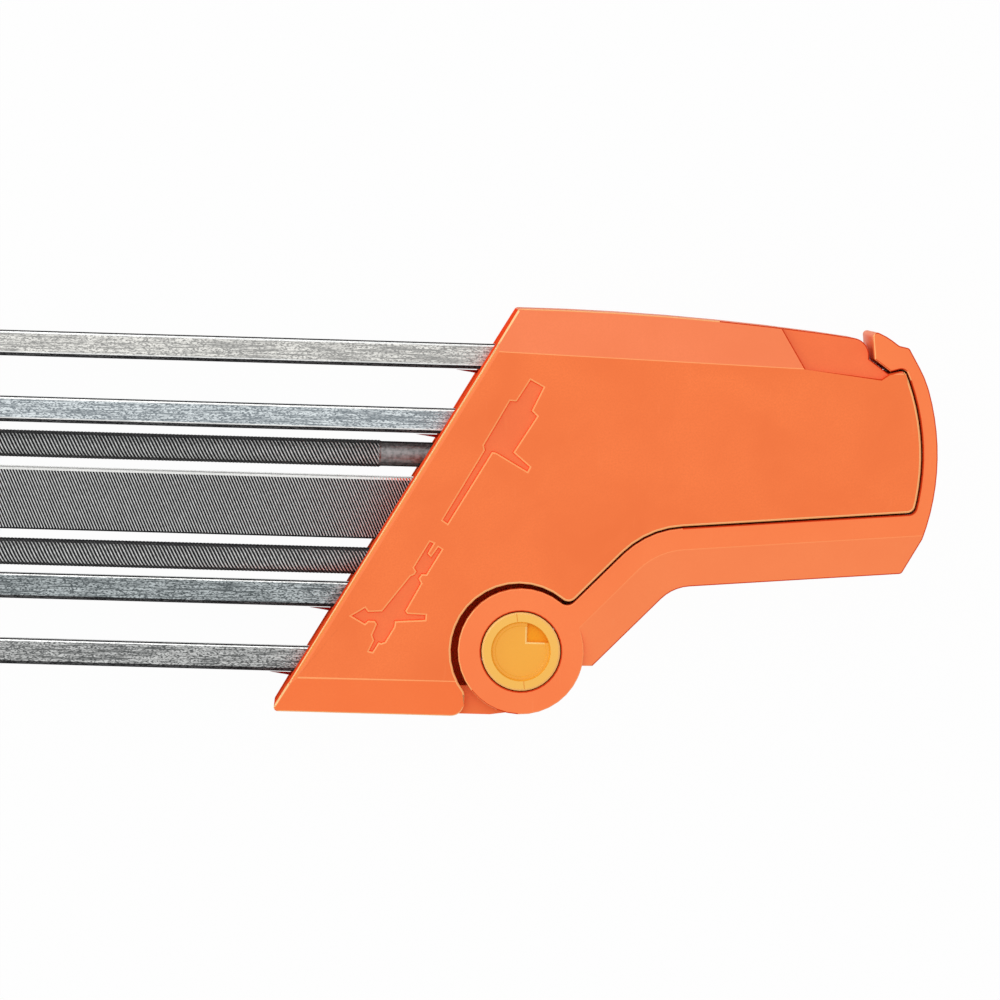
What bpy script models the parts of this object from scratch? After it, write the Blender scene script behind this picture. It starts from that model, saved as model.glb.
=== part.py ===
"""Chainsaw file guide: two moulded heads joined by four steel rails, which carry two round
files and a flat file. The clamp lever of the right head swings open to release the files.

Metres, +Z up. The guide lies on its back face, with the files along X and the lever at +X.
A head has a plan frame of its own: u runs along the files from the middle of its slanted face
into the head, and v across them. The fixed head's frame is the lever head's, turned half round."""

import math

import bmesh
import bpy
from mathutils import Matrix, Vector

MM = 0.001

# Whole guide
WINDOW_LENGTH = 150.0 * MM
SLANT_ANGLE = math.radians(30.0)
HEAD_HALF_WIDTH = 39.0 * MM
HEAD_THICKNESS = 23.0 * MM
PARTING_GAP = 0.2 * MM
FIT_GAP = 0.2 * MM
OVERRUN = 3.0 * MM

# Outer edge of a head
HEAD_REACH = 103.1 * MM
TOP_RADIUS = 511.0 * MM
TOP_CREST_REACH = 25.0 * MM
END_RADIUS = 46.0 * MM
END_CENTRE_DROP = 27.0 * MM
END_LOW_ANGLE = math.radians(-18.7)
GRIP_END_SET_BACK = 6.0 * MM
EDGE_RADIUS = 0.8 * MM
KNEE_RADIUS = 8.5 * MM
FIXED_HEEL_RADIUS = 12.0 * MM
FIXED_SHOULDER_RADIUS = 5.0 * MM

# Sloping facets along the edges of both faces
TOP_FACET_WIDTH = 7.7 * MM
TOP_FACET_RUN_OUT = math.radians(-1.6)
HEEL_FACET_WIDTH = 6.8 * MM
GRIP_FACET_WIDTH = 7.2 * MM
FACET_DEPTH = 2.2 * MM
SLANT_CHAMFER_WIDTH = 1.0 * MM
SLANT_CHAMFER_DEPTH = 0.5 * MM

# Walls and blocks inside the heads
SHELL_WALL = 2.6 * MM
RIM_WALL = 1.6 * MM
RIM_DEPTH = 4.6 * MM
LEVER_HEAD_BLOCK = 31.0 * MM
FIXED_HEAD_BLOCK = 52.0 * MM
HEAD_RIBS = 2
HEAD_RIB_REACH = 60.0 * MM
HEAD_RIB_SPACING = 11.0 * MM
HEAD_RIB_FOOT = 8.0 * MM
HEAD_RIB_THICKNESS = 1.6 * MM

# Finger recess by the latch
RECESS_LENGTH = 14.5 * MM
RECESS_FALL = 1.5 * MM
RECESS_STEP = 1.0 * MM
RECESS_LEAN = math.radians(120.6)
RECESS_END_LEAN = math.radians(35.0)
RECESS_END_LENGTH = 1.8 * MM
RECESS_BACKING = 3.0 * MM

# Seam between the lever head and its lever
SEAM_GAP = 0.4 * MM
SEAM_SET_BACK = 5.3 * MM
SEAM_RISE = 1.9 * MM
SEAM_TAPER = math.radians(5.0)
SEAM_DIAGONAL = math.radians(46.0)
SEAM_DROP = 0.4 * MM
SEAM_KNEE_RADIUS = 17.7 * MM
SEAM_CORNER_RADIUS = 1.6 * MM

# Clamp lever
LEVER_BAND = 11.3 * MM
LEVER_WALL = 2.4 * MM
LEVER_END_WALL = 2.8 * MM
LEVER_CHEEK = 3.0 * MM
LEVER_SINK = 0.4 * MM
LEVER_STEP_DROP = 2.55 * MM
WEB_THICKNESS = 5.4 * MM
WEB_FOOT = 4.0 * MM
WEB_HALF_HEIGHT = 5.0 * MM
WEB_OVERLAP = 0.7 * MM
LEVER_RIBS = 3
LEVER_RIB_SET_BACK = 14.0 * MM
LEVER_RIB_SPACING = 11.0 * MM
LEVER_RIB_DROP = 2.0 * MM
LEVER_RIB_THICKNESS = 1.6 * MM

# Latch: the lever's hook snaps over the nose of the lever head
LATCH_SET_BACK = 13.6 * MM
LATCH_CORNER_RADIUS = 3.2 * MM
LATCH_GAP = 1.0 * MM
THROAT_SET_BACK = 9.8 * MM
THROAT_DROP = 10.4 * MM
THROAT_GAP = 0.6 * MM
THROAT_LEAN = math.radians(144.2)
NOSE_LEAN = math.radians(16.0)
NOSE_RADIUS = 1.0 * MM
HOOK_DROP = 2.1 * MM
HOOK_CROWN_SHARE = 0.5
HOOK_OVERHANG = 0.6 * MM
HOOK_CROWN_RISE = 0.35 * MM
HOOK_CROWN_RADIUS = 12.0 * MM
HOOK_LEDGE_DROP = 5.35 * MM
HOOK_LEDGE_LENGTH = 1.9 * MM
HOOK_LEDGE_LEAN = math.radians(169.0)
HOOK_LEDGE_RADIUS = 1.6 * MM
HOOK_SHOULDER_INSET = 0.7 * MM
HOOK_BEND_ANGLE = math.radians(20.5)
HOOK_BEND_RADIUS = 20.0 * MM

# Pivot of the lever
PIVOT_REACH = 24.8 * MM
RING_RADIUS = 12.0 * MM
RING_INSET = 0.8 * MM
CUTOUT_GAP = 1.0 * MM
CUTOUT_SHIFT = 0.4 * MM
CUTOUT_END_ANGLE = math.radians(219.0)
CUTOUT_END_RADIUS = 1.5 * MM
HEEL_RADIUS = 2.5 * MM
DIP_RADIUS = 1.8 * MM
RELIEF_GAP = 0.9 * MM
LUG_INSET = 0.4 * MM
LUG_TOE = 5.5 * MM
LUG_ROOT_DROP = 7.0 * MM
RING_GAP_FLOOR_DEPTH = 8.0 * MM
RING_GAP_FLOOR_ANGLE = math.radians(48.0)

# Pivot pin and its cap
PIN_RADIUS = 7.5 * MM
PIN_WALL = 2.3 * MM
PIN_PRESS_GAP = 0.08 * MM
PIN_FACE = 2.5 * MM
PIN_RIM = 1.8 * MM
PIN_RIM_SLOPE = 0.3 * MM
PIN_DISH = 0.6 * MM
PIN_PAD_INSET = 0.6 * MM
PIN_PAD_DROP = 0.15 * MM
PIN_EDGE = 0.35 * MM
PIN_SINK = 0.3 * MM
PIN_MARK_REACH = 1.1 * MM
PIN_MARK_RISE = 1.8 * MM
PIN_MARK_DEPTH = 0.8 * MM
CAP_DEPTH = 4.0 * MM
CAP_SPIGOT = 4.5 * MM

# Guide rails
RAIL_WIDTH = 4.9 * MM
RAIL_SEAT = 25.0 * MM
RAIL_EDGE = 0.5 * MM
RAIL_HOLE_RADIUS = 1.3 * MM
RAIL_HOLE_FROM_END = 8.0 * MM
PEG_CLEARANCE = 0.2 * MM
OUTER_RAIL_INSET = 9.5 * MM
INNER_RAIL_FROM_FILE = 6.7 * MM
LIP_REACH = 4.4 * MM
LIP_HEIGHT = 0.6 * MM
LIP_SINK = 1.1 * MM

# Files
FLAT_WIDTH = 12.0 * MM
FLAT_THICKNESS = 4.0 * MM
FLAT_EDGE = 0.3 * MM
DEPTH_GAUGE_SETTING = 0.65 * MM
FILE_SEAT = 41.5 * MM
FILE_DIAMETER = 5.2 * MM
FILE_SPACING = 1.6 * MM
FILE_ABOVE_TOOTH_SHARE = 0.2
TEETH_STOP = 3.1 * MM
SHANK_RADIUS = 2.4 * MM
SHANK_TAPER = 0.8 * MM
TIP_CHAMFER = 0.7 * MM
FILE_CLEARANCE = 0.3 * MM
END_CLEARANCE = 0.3 * MM

# Derived sizes
MID = HEAD_THICKNESS / 2
HALF_WINDOW = WINDOW_LENGTH / 2
SLANT = math.tan(SLANT_ANGLE)
RAIL_THICKNESS = FLAT_THICKNESS - 2 * DEPTH_GAUGE_SETTING
RAIL_HALF_LENGTH = HALF_WINDOW + RAIL_SEAT
FILE_HALF_LENGTH = HALF_WINDOW + FILE_SEAT
FILE_RADIUS = FILE_DIAMETER / 2
FILE_SINK = RAIL_THICKNESS / 2 + FILE_RADIUS - FILE_ABOVE_TOOTH_SHARE * FILE_DIAMETER
FILE_OFFSET = FLAT_WIDTH / 2 + FILE_SPACING + FILE_RADIUS
INNER_RAIL_OFFSET = FILE_OFFSET + INNER_RAIL_FROM_FILE
OUTER_RAIL_OFFSET = HEAD_HALF_WIDTH - OUTER_RAIL_INSET
LATCH_REACH = HEAD_REACH - LATCH_SET_BACK
SEAM_END_RADIUS = END_RADIUS - LEVER_END_WALL
CUTOUT_RADIUS = RING_RADIUS + CUTOUT_GAP
BORE_RADIUS = PIN_RADIUS + FIT_GAP
LUG_RADIUS = RING_RADIUS - FIT_GAP
LUG_DEPTH = LEVER_SINK + LEVER_CHEEK + FIT_GAP
PEG_RADIUS = RAIL_HOLE_RADIUS - PEG_CLEARANCE

RAILS = (
    ("outer_rail_top", OUTER_RAIL_OFFSET),
    ("inner_rail_top", INNER_RAIL_OFFSET),
    ("inner_rail_bottom", -INNER_RAIL_OFFSET),
    ("outer_rail_bottom", -OUTER_RAIL_OFFSET),
)

ARC_STEP = math.radians(10.0)
COARSE_ARC_STEP = math.radians(30.0)
FINE_ARC_STEP = math.radians(3.5)
LONG_ARC_STEP = math.radians(1.2)
ROUND_SIDES = 40
PEG_SIDES = 16
SMOOTH_ANGLE = math.radians(32.0)
MERGE_DISTANCE = FIT_GAP / 20


def clear_scene():
    """Empty the scene and make the collections for the pieces and their cutters."""
    for old in list(bpy.data.objects):
        bpy.data.objects.remove(old, do_unlink=True)
    made = []
    for name in ("chainsaw_file_guide", "cutters"):
        collection = bpy.data.collections.new(name)
        bpy.context.scene.collection.children.link(collection)
        made.append(collection)
    return made


PARTS, CUTTERS = clear_scene()


def material(name, colour, roughness, metallic):
    made = bpy.data.materials.new(name)
    made.use_nodes = True
    shader = made.node_tree.nodes["Principled BSDF"]
    shader.inputs["Base Color"].default_value = (*colour, 1.0)
    shader.inputs["Roughness"].default_value = roughness
    shader.inputs["Metallic"].default_value = metallic
    return made


ORANGE_PLASTIC = material("orange_plastic", (0.93, 0.2, 0.045), 0.45, 0.0)
YELLOW_PLASTIC = material("yellow_plastic", (0.96, 0.45, 0.045), 0.4, 0.0)
RAIL_STEEL = material("rail_steel", (0.45, 0.46, 0.48), 0.3, 1.0)
FILE_STEEL = material("file_steel", (0.12, 0.12, 0.13), 0.5, 0.8)


# Plan geometry


def toward(angle):
    return Vector((math.cos(angle), math.sin(angle)))


def angle_of(direction):
    return math.atan2(direction.y, direction.x)


def side_of(direction):
    """The unit vector square to a direction, on its left."""
    return Vector((-direction.y, direction.x)).normalized()


def lines_cross(point_a, direction_a, point_b, direction_b):
    across = direction_a.x * direction_b.y - direction_a.y * direction_b.x
    gap = point_b - point_a
    along = (gap.x * direction_b.y - gap.y * direction_b.x) / across
    return point_a + along * direction_a


def line_leaves_circle(point, direction, centre, radius):
    """Where a line that runs through a circle comes out of it."""
    foot = (centre - point).dot(direction)
    height = (centre - point).dot(side_of(direction))
    return point + (foot + math.sqrt(radius**2 - height**2)) * direction


def circles_cross(centre_a, radius_a, centre_b, radius_b):
    """The crossing of two circles on the right of the way from the first centre to the other."""
    span = centre_b - centre_a
    along = (radius_a**2 - radius_b**2 + span.length_squared) / (2 * span.length)
    across = math.sqrt(radius_a**2 - along**2)
    return centre_a + along * span.normalized() - across * side_of(span)


def arc(centre, radius, start, end, step=ARC_STEP):
    """Points along a circle from one angle to another."""
    count = max(2, math.ceil(abs(end - start) / step))
    angles = [start + (end - start) * i / count for i in range(count + 1)]
    return [centre + radius * toward(angle) for angle in angles]


def arc_to(centre, start, end, step=ARC_STEP):
    """Points along a circle from one of its points to another, the short way round."""
    first = start - centre
    last = end - centre
    turn = math.atan2(first.x * last.y - first.y * last.x, first.dot(last))
    return arc(centre, first.length, angle_of(first), angle_of(first) + turn, step)


def rounded(corners, step=ARC_STEP):
    """An outline from (point, radius) corners, each turned by an arc of its radius."""
    outline = []
    for i, (corner, radius) in enumerate(corners):
        before = (corners[i - 1][0] - corner).normalized()
        after = (corners[(i + 1) % len(corners)][0] - corner).normalized()
        opening = before.angle(after)
        if radius == 0 or opening > math.pi - ARC_STEP / 10:
            outline.append(corner.copy())
            continue
        centre = corner + (before + after).normalized() * radius / math.sin(opening / 2)
        reach = radius / math.tan(opening / 2)
        outline += arc_to(centre, corner + before * reach, corner + after * reach, step)
    return outline


def sharp(points):
    return [(point, 0) for point in points]


# Lines and points of a head's plan

ALONG = Vector((1, 0))
UPWARD = Vector((0, 1))
PIVOT = Vector((PIVOT_REACH, RING_INSET + RING_RADIUS - HEAD_HALF_WIDTH))
CUTOUT_CENTRE = PIVOT - CUTOUT_SHIFT * ALONG
END_CENTRE = Vector((HEAD_REACH - END_RADIUS, HEAD_HALF_WIDTH - END_CENTRE_DROP))
TOP_CENTRE = Vector((TOP_CREST_REACH, HEAD_HALF_WIDTH - TOP_RADIUS))
DIAGONAL = toward(SEAM_DIAGONAL)
GRIP = toward(SEAM_TAPER)
THROAT = Vector((HEAD_REACH - THROAT_SET_BACK, HEAD_HALF_WIDTH - THROAT_DROP))
THROAT_LINE = toward(THROAT_LEAN)
NOSE_LINE = toward(NOSE_LEAN)
RECESS_END = THROAT - RECESS_END_LENGTH * toward(RECESS_END_LEAN)
RECESS_START = RECESS_END + Vector((-RECESS_LENGTH, RECESS_FALL))
SLANT_LINE = Vector((math.sin(SLANT_ANGLE), math.cos(SLANT_ANGLE)))
SLANT_TOP = line_leaves_circle(Vector((0, 0)), SLANT_LINE, TOP_CENTRE, TOP_RADIUS)
SLANT_FOOT = -HEAD_HALF_WIDTH / SLANT_LINE.y * SLANT_LINE


def on_grip(offset):
    """A point of the seam's long straight line, moved outwards by the offset."""
    return Vector((HEAD_REACH - SEAM_SET_BACK, SEAM_RISE)) - offset * side_of(GRIP)


def on_diagonal(offset):
    """A point of the seam's diagonal line, moved outwards by the offset."""
    return PIVOT - (SEAM_DROP + offset) * side_of(DIAGONAL)


def knee(offset):
    return lines_cross(on_diagonal(offset), DIAGONAL, on_grip(offset), GRIP)


def grip_meets_end(offset, radius):
    return line_leaves_circle(on_grip(offset), GRIP, END_CENTRE, radius)


def behind_slant(depth, rise):
    """The point this deep behind the slanted face, measured along the files."""
    return Vector((depth + rise * SLANT, rise))


def outer_end():
    """The low end of the round end, the grip's end and the grip's knee, from the top down."""
    end_line = Vector((HEAD_REACH - GRIP_END_SET_BACK, 0))
    grip_end = lines_cross(on_grip(LEVER_BAND), GRIP, end_line, UPWARD)
    return END_CENTRE + END_RADIUS * toward(END_LOW_ANGLE), grip_end, knee(LEVER_BAND)


def latch_corners(throat_gap, nose_gap, step_reach, end_radius):
    """The foot of the latch's step, its throat and its nose, on lines moved outwards."""
    by_throat = THROAT - throat_gap * side_of(THROAT_LINE)
    by_nose = THROAT + nose_gap * side_of(NOSE_LINE)
    foot = lines_cross(by_throat, THROAT_LINE, Vector((step_reach, 0)), UPWARD)
    throat = lines_cross(by_throat, THROAT_LINE, by_nose, NOSE_LINE)
    return foot, throat, line_leaves_circle(by_nose, NOSE_LINE, END_CENTRE, end_radius)


def dip(centre, radius, offset):
    """The small arc from a circle round the pivot to the diagonal line."""
    side = side_of(DIAGONAL)
    height = (on_diagonal(offset) - centre).dot(side) + DIP_RADIUS
    along = math.sqrt((radius + DIP_RADIUS) ** 2 - height**2)
    middle = centre + along * DIAGONAL + height * side
    on_circle = middle + DIP_RADIUS * (centre - middle).normalized()
    return arc_to(middle, on_circle, middle - DIP_RADIUS * side)


def lever_head_plan():
    """The lever head's shells: a head less the share of it that the lever makes."""
    end_radius = SEAM_END_RADIUS - SEAM_GAP
    top_corner = line_leaves_circle(Vector((LATCH_REACH, 0)), UPWARD, TOP_CENTRE, TOP_RADIUS)
    foot, throat, nose = latch_corners(0, 0, LATCH_REACH, end_radius)
    grip_corner = grip_meets_end(-SEAM_GAP, end_radius)
    dip_arc = dip(CUTOUT_CENTRE, CUTOUT_RADIUS, -SEAM_GAP)
    cutout_start = angle_of(dip_arc[0] - CUTOUT_CENTRE)
    cutout = arc(CUTOUT_CENTRE, CUTOUT_RADIUS, cutout_start, CUTOUT_END_ANGLE)
    top = arc_to(TOP_CENTRE, SLANT_TOP, top_corner, LONG_ARC_STEP)
    corners = [(SLANT_TOP, EDGE_RADIUS), *sharp(top[1:-1]), (top_corner, LATCH_CORNER_RADIUS)]
    corners += [(foot, 0), (throat, 0), (nose, NOSE_RADIUS)]
    corners += sharp(arc_to(END_CENTRE, nose, grip_corner, FINE_ARC_STEP)[1:-1])
    corners += [(grip_corner, SEAM_CORNER_RADIUS), (knee(-SEAM_GAP), SEAM_KNEE_RADIUS)]
    corners += sharp(dip_arc[::-1] + cutout[1:-1])
    corners += [
        (cutout[-1], CUTOUT_END_RADIUS),
        (Vector((cutout[-1].x, -HEAD_HALF_WIDTH)), HEEL_RADIUS),
        (SLANT_FOOT, EDGE_RADIUS),
    ]
    return rounded(corners)


def lever_plan():
    """The lever: its ring, arm, grip, round end and hook."""
    step_line = Vector((0, PIVOT.y - LEVER_STEP_DROP))
    step = lines_cross(on_diagonal(LEVER_BAND), DIAGONAL, step_line, ALONG)
    step_root = line_leaves_circle(step_line, ALONG, PIVOT, RING_RADIUS)
    dip_arc = dip(PIVOT, RING_RADIUS, 0)
    ring_end = angle_of(dip_arc[0] - PIVOT) - math.tau
    ring = arc(PIVOT, RING_RADIUS, angle_of(step_root - PIVOT), ring_end)
    grip_corner = grip_meets_end(0, SEAM_END_RADIUS)
    hook_reach = LATCH_REACH + LATCH_GAP
    foot, throat, nose = latch_corners(THROAT_GAP, SEAM_GAP, hook_reach, SEAM_END_RADIUS)
    hook_tip = Vector((hook_reach - HOOK_OVERHANG, HEAD_HALF_WIDTH - HOOK_DROP))
    ledge_line = Vector((0, HEAD_HALF_WIDTH - HOOK_LEDGE_DROP))
    shoulder = line_leaves_circle(ledge_line, ALONG, END_CENTRE, END_RADIUS)
    shoulder -= HOOK_SHOULDER_INSET * ALONG
    ledge = shoulder + HOOK_LEDGE_LENGTH * toward(HOOK_LEDGE_LEAN)
    bend = END_CENTRE + END_RADIUS * toward(HOOK_BEND_ANGLE)
    crown = hook_tip.lerp(ledge, HOOK_CROWN_SHARE)
    crown += HOOK_CROWN_RISE * side_of(ledge - hook_tip)
    end_low, grip_end, outer_knee = outer_end()
    corners = sharp([step, *ring, *dip_arc[1:]])
    corners += [(knee(0), SEAM_KNEE_RADIUS), (grip_corner, SEAM_CORNER_RADIUS)]
    corners += sharp(arc_to(END_CENTRE, grip_corner, nose, FINE_ARC_STEP)[1:-1])
    corners += [(nose, NOSE_RADIUS + SEAM_GAP), (throat, 0), (foot, 0)]
    corners += [(hook_tip, EDGE_RADIUS), (crown, HOOK_CROWN_RADIUS)]
    corners += [(ledge, HOOK_LEDGE_RADIUS), (shoulder, EDGE_RADIUS), (bend, HOOK_BEND_RADIUS)]
    corners += sharp(arc_to(END_CENTRE, bend, end_low, FINE_ARC_STEP)[1:])
    corners += [(grip_end, EDGE_RADIUS), (outer_knee, KNEE_RADIUS)]
    return rounded(corners)


def fixed_head_plan():
    """The fixed head: the outer edge of the lever head and its lever together."""
    shoulder = circles_cross(TOP_CENTRE, TOP_RADIUS, END_CENTRE, END_RADIUS)
    top = arc_to(TOP_CENTRE, SLANT_TOP, shoulder, LONG_ARC_STEP)
    end_low, grip_end, outer_knee = outer_end()
    end = arc_to(END_CENTRE, shoulder, end_low, FINE_ARC_STEP)
    heel = lines_cross(on_diagonal(LEVER_BAND), DIAGONAL, SLANT_FOOT, ALONG)
    corners = [(SLANT_TOP, EDGE_RADIUS), *sharp(top[1:-1])]
    corners += [(shoulder, FIXED_SHOULDER_RADIUS), *sharp(end[2:])]
    corners += [
        (grip_end, EDGE_RADIUS),
        (outer_knee, KNEE_RADIUS),
        (heel, FIXED_HEEL_RADIUS),
        (SLANT_FOOT, EDGE_RADIUS),
    ]
    return rounded(corners)


# Solids


class Side:
    """One face of one head: it takes plan points and depths below the face to the guide."""

    def __init__(self, turn, front):
        self.turn = turn
        self.front = front

    def place(self, point):
        return Vector((self.turn * (HALF_WINDOW + point.x), self.turn * point.y))

    def level(self, depth):
        return HEAD_THICKNESS - depth if self.front else depth

    def levels(self, depth_a, depth_b):
        return sorted((self.level(depth_a), self.level(depth_b)))

    def plate(self, name, outline, depth_a, depth_b, collection):
        placed = [self.place(point) for point in outline]
        return plate(name, placed, *self.levels(depth_a, depth_b), collection)


LEVER_FRONT = Side(1, True)
LEVER_BACK = Side(1, False)
FIXED_FRONT = Side(-1, True)
FIXED_BACK = Side(-1, False)


def new_object(name, mesh, collection):
    made = bpy.data.objects.new(name, mesh)
    collection.objects.link(made)
    if collection == CUTTERS:
        made.hide_render = True
        made.display_type = "WIRE"
    return made


def plate(name, outline, low, high, collection):
    """A flat piece of this outline between two heights, from a filled and extruded curve."""
    curve = bpy.data.curves.new(name, "CURVE")
    curve.dimensions = "2D"
    curve.fill_mode = "BOTH"
    curve.extrude = (high - low) / 2
    spline = curve.splines.new("POLY")
    spline.points.add(len(outline) - 1)
    for spline_point, point in zip(spline.points, outline):
        spline_point.co = (point.x, point.y, 0, 1)
    spline.use_cyclic_u = True
    drawn = bpy.data.objects.new(name + "_curve", curve)
    bpy.context.scene.collection.objects.link(drawn)
    drawn.location.z = (low + high) / 2
    bpy.context.view_layer.update()
    depsgraph = bpy.context.evaluated_depsgraph_get()
    mesh = bpy.data.meshes.new_from_object(drawn.evaluated_get(depsgraph))
    mesh.transform(drawn.matrix_world)
    bpy.data.objects.remove(drawn, do_unlink=True)
    shape = bmesh.new()
    shape.from_mesh(mesh)
    bmesh.ops.remove_doubles(shape, verts=shape.verts, dist=MERGE_DISTANCE)
    bmesh.ops.recalc_face_normals(shape, faces=shape.faces)
    shape.to_mesh(mesh)
    shape.free()
    return new_object(name, mesh, collection)


def bar(name, section, start, end, collection):
    """A bar along X with this (y, z) section."""
    made = plate(name, section, start, end, collection)
    upright_to_x = Matrix(((0, 0, 1), (1, 0, 0), (0, 1, 0))).to_4x4()
    made.data.transform(upright_to_x)
    return made


def cylinder(name, radius, low, high, centre, collection, sides=ROUND_SIDES):
    """A cylinder that stands on the plan, between two heights."""
    shape = bmesh.new()
    bmesh.ops.create_cone(
        shape, cap_ends=True, segments=sides, radius1=radius, radius2=radius, depth=high - low
    )
    bmesh.ops.translate(shape, verts=shape.verts, vec=(*centre, (low + high) / 2))
    mesh = bpy.data.meshes.new(name)
    shape.to_mesh(mesh)
    shape.free()
    return new_object(name, mesh, collection)


def turned(name, profile, collection):
    """A turned piece about Z, from (radius, height) points that run down its outside."""
    mesh = bpy.data.meshes.new(name)
    points = [(radius, 0, height) for radius, height in profile]
    mesh.from_pydata(points, [(i, i + 1) for i in range(len(points) - 1)], [])
    made = new_object(name, mesh, collection)
    screw = made.modifiers.new("turn", "SCREW")
    screw.steps = ROUND_SIDES
    screw.render_steps = ROUND_SIDES
    screw.use_merge_vertices = True
    screw.merge_threshold = MERGE_DISTANCE
    screw.use_smooth_shade = True
    return made


def loft(name, rows):
    """A cutter through rows of points, closed at both ends."""
    shape = bmesh.new()
    rings = [[shape.verts.new(point) for point in row] for row in rows]
    for ring, following in zip(rings, rings[1:]):
        for i, vertex in enumerate(ring):
            after = (i + 1) % len(ring)
            shape.faces.new((vertex, ring[after], following[after], following[i]))
    shape.faces.new(rings[0])
    shape.faces.new(rings[-1])
    bmesh.ops.recalc_face_normals(shape, faces=shape.faces)
    mesh = bpy.data.meshes.new(name)
    shape.to_mesh(mesh)
    shape.free()
    return new_object(name, mesh, CUTTERS)


def boolean(target, tool, operation):
    modifier = target.modifiers.new(tool.name, "BOOLEAN")
    modifier.object = tool
    modifier.operation = operation
    modifier.solver = "EXACT"


def cut(target, *tools):
    for tool in tools:
        boolean(target, tool, "DIFFERENCE")


def join(target, *tools):
    for tool in tools:
        boolean(target, tool, "UNION")


def finish(made, paint):
    made.data.materials.clear()
    made.data.materials.append(paint)
    made.data.shade_smooth()
    made.data.set_sharp_from_angle(angle=SMOOTH_ANGLE)


# Sloping facets


def facet(name, side, crease, edge, drop, depth):
    """A cutter that slopes a face down from a crease to a lower edge."""
    rows = []
    for near, far in zip(crease, edge):
        places = ((near, drop), (near, -OVERRUN), (far, -OVERRUN), (far, depth))
        rows.append([(*side.place(point), side.level(below)) for point, below in places])
    return loft(name, rows)


def past_edge(width, drop):
    """How far a facet's cutter reaches from its crease, and how deep it is there."""
    reach = width + OVERRUN
    return reach, drop + FACET_DEPTH * reach / width


def top_facet(name, side):
    """The facet along the long top edge."""
    run = toward(TOP_FACET_RUN_OUT)
    start = Vector((0, HEAD_HALF_WIDTH - TOP_FACET_WIDTH))
    end = start + run * (HEAD_REACH + OVERRUN)
    reach, depth = past_edge(TOP_FACET_WIDTH, 0)
    out = side_of(run) * reach
    return facet(name + "_top_facet", side, (start, end), (start + out, end + out), 0, depth)


def heel_facet(name, side, end_reach):
    """The facet along the short bottom edge, at the foot of the slanted face."""
    start = SLANT_FOOT + Vector((-OVERRUN, HEEL_FACET_WIDTH))
    end = Vector((end_reach, start.y))
    reach, depth = past_edge(HEEL_FACET_WIDTH, 0)
    out = Vector((0, -reach))
    return facet(name + "_heel_facet", side, (start, end), (start + out, end + out), 0, depth)


def grip_facet(name, side, start_along, drop):
    """The facet along the diagonal and the grip, round the knee between them."""
    crease_offset = LEVER_BAND - GRIP_FACET_WIDTH
    start = on_diagonal(crease_offset) + start_along * DIAGONAL
    end = on_grip(crease_offset) + END_RADIUS * GRIP
    turn = SEAM_KNEE_RADIUS - crease_offset
    crease = rounded([(start, 0), (knee(crease_offset), turn), (end, 0)], FINE_ARC_STEP)
    reach, depth = past_edge(GRIP_FACET_WIDTH, drop)
    edge = []
    for i, point in enumerate(crease):
        along = crease[min(i + 1, len(crease) - 1)] - crease[max(i - 1, 0)]
        edge.append(point - reach * side_of(along))
    return facet(name + "_grip_facet", side, crease, edge, drop, depth)


def slant_chamfer(name, side):
    """The narrow chamfer along the edge of the slanted face."""
    reach = SLANT_CHAMFER_WIDTH + OVERRUN
    ends = (SLANT_FOOT - OVERRUN * SLANT_LINE, SLANT_TOP + OVERRUN * SLANT_LINE)
    crease = [point + SLANT_CHAMFER_WIDTH * ALONG for point in ends]
    edge = [point - OVERRUN * ALONG for point in ends]
    depth = SLANT_CHAMFER_DEPTH * reach / SLANT_CHAMFER_WIDTH
    return facet(name + "_slant_chamfer", side, crease, edge, 0, depth)


def finger_recess(name, side):
    """The finger recess by the latch: one step below the top facet, with leaning ends."""
    reach, depth = past_edge(TOP_FACET_WIDTH, RECESS_STEP)
    ends = ((RECESS_START, RECESS_LEAN), (RECESS_END, RECESS_END_LEAN))
    crease = [point for point, _ in ends]
    edge = [point + toward(lean) * reach / math.sin(lean) for point, lean in ends]
    return facet(name + "_recess", side, crease, edge, RECESS_STEP, depth)


# Seats in the shells for the rails and the files


def rectangle(low_y, high_y, low_z, high_z):
    corners = ((low_y, low_z), (high_y, low_z), (high_y, high_z), (low_y, high_z))
    return [Vector(corner) for corner in corners]


def rail_lip(name, side, rise):
    """A wedge on the slanted face, under a rail. The rail's pocket trims it at the top."""
    high = rise + LIP_HEIGHT
    outline = [
        behind_slant(-2 * LIP_REACH, high),
        behind_slant(LIP_REACH, rise - 2 * LIP_HEIGHT),
        behind_slant(LIP_REACH, high),
    ]
    depths = (MID - PARTING_GAP, MID - RAIL_THICKNESS / 2 + LIP_SINK)
    return side.plate(name, outline, *depths, CUTTERS)


def add_rail_seats(shell, side):
    """Pockets for the four rails, each with a lip under it and a peg through its hole."""
    span = RAIL_THICKNESS / 2 + FIT_GAP
    half = RAIL_WIDTH / 2 + FIT_GAP
    for rail, offset in RAILS:
        shift = offset * SLANT
        ends = (side.turn * (HALF_WINDOW - RAIL_SEAT), side.turn * (RAIL_HALF_LENGTH + FIT_GAP))
        near, far = sorted(end + shift for end in ends)
        section = rectangle(offset - half, offset + half, MID - span, MID + span)
        name = f"{shell.name}_{rail}"
        join(shell, rail_lip(name + "_lip", side, side.turn * offset - half))
        cut(shell, bar(name + "_pocket", section, near, far, CUTTERS))
        at = Vector((side.turn * (RAIL_HALF_LENGTH - RAIL_HOLE_FROM_END) + shift, offset))
        levels = side.levels(MID - PARTING_GAP / 2, MID - 2 * span)
        join(shell, cylinder(name + "_peg", PEG_RADIUS, *levels, at, CUTTERS, PEG_SIDES))


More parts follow.
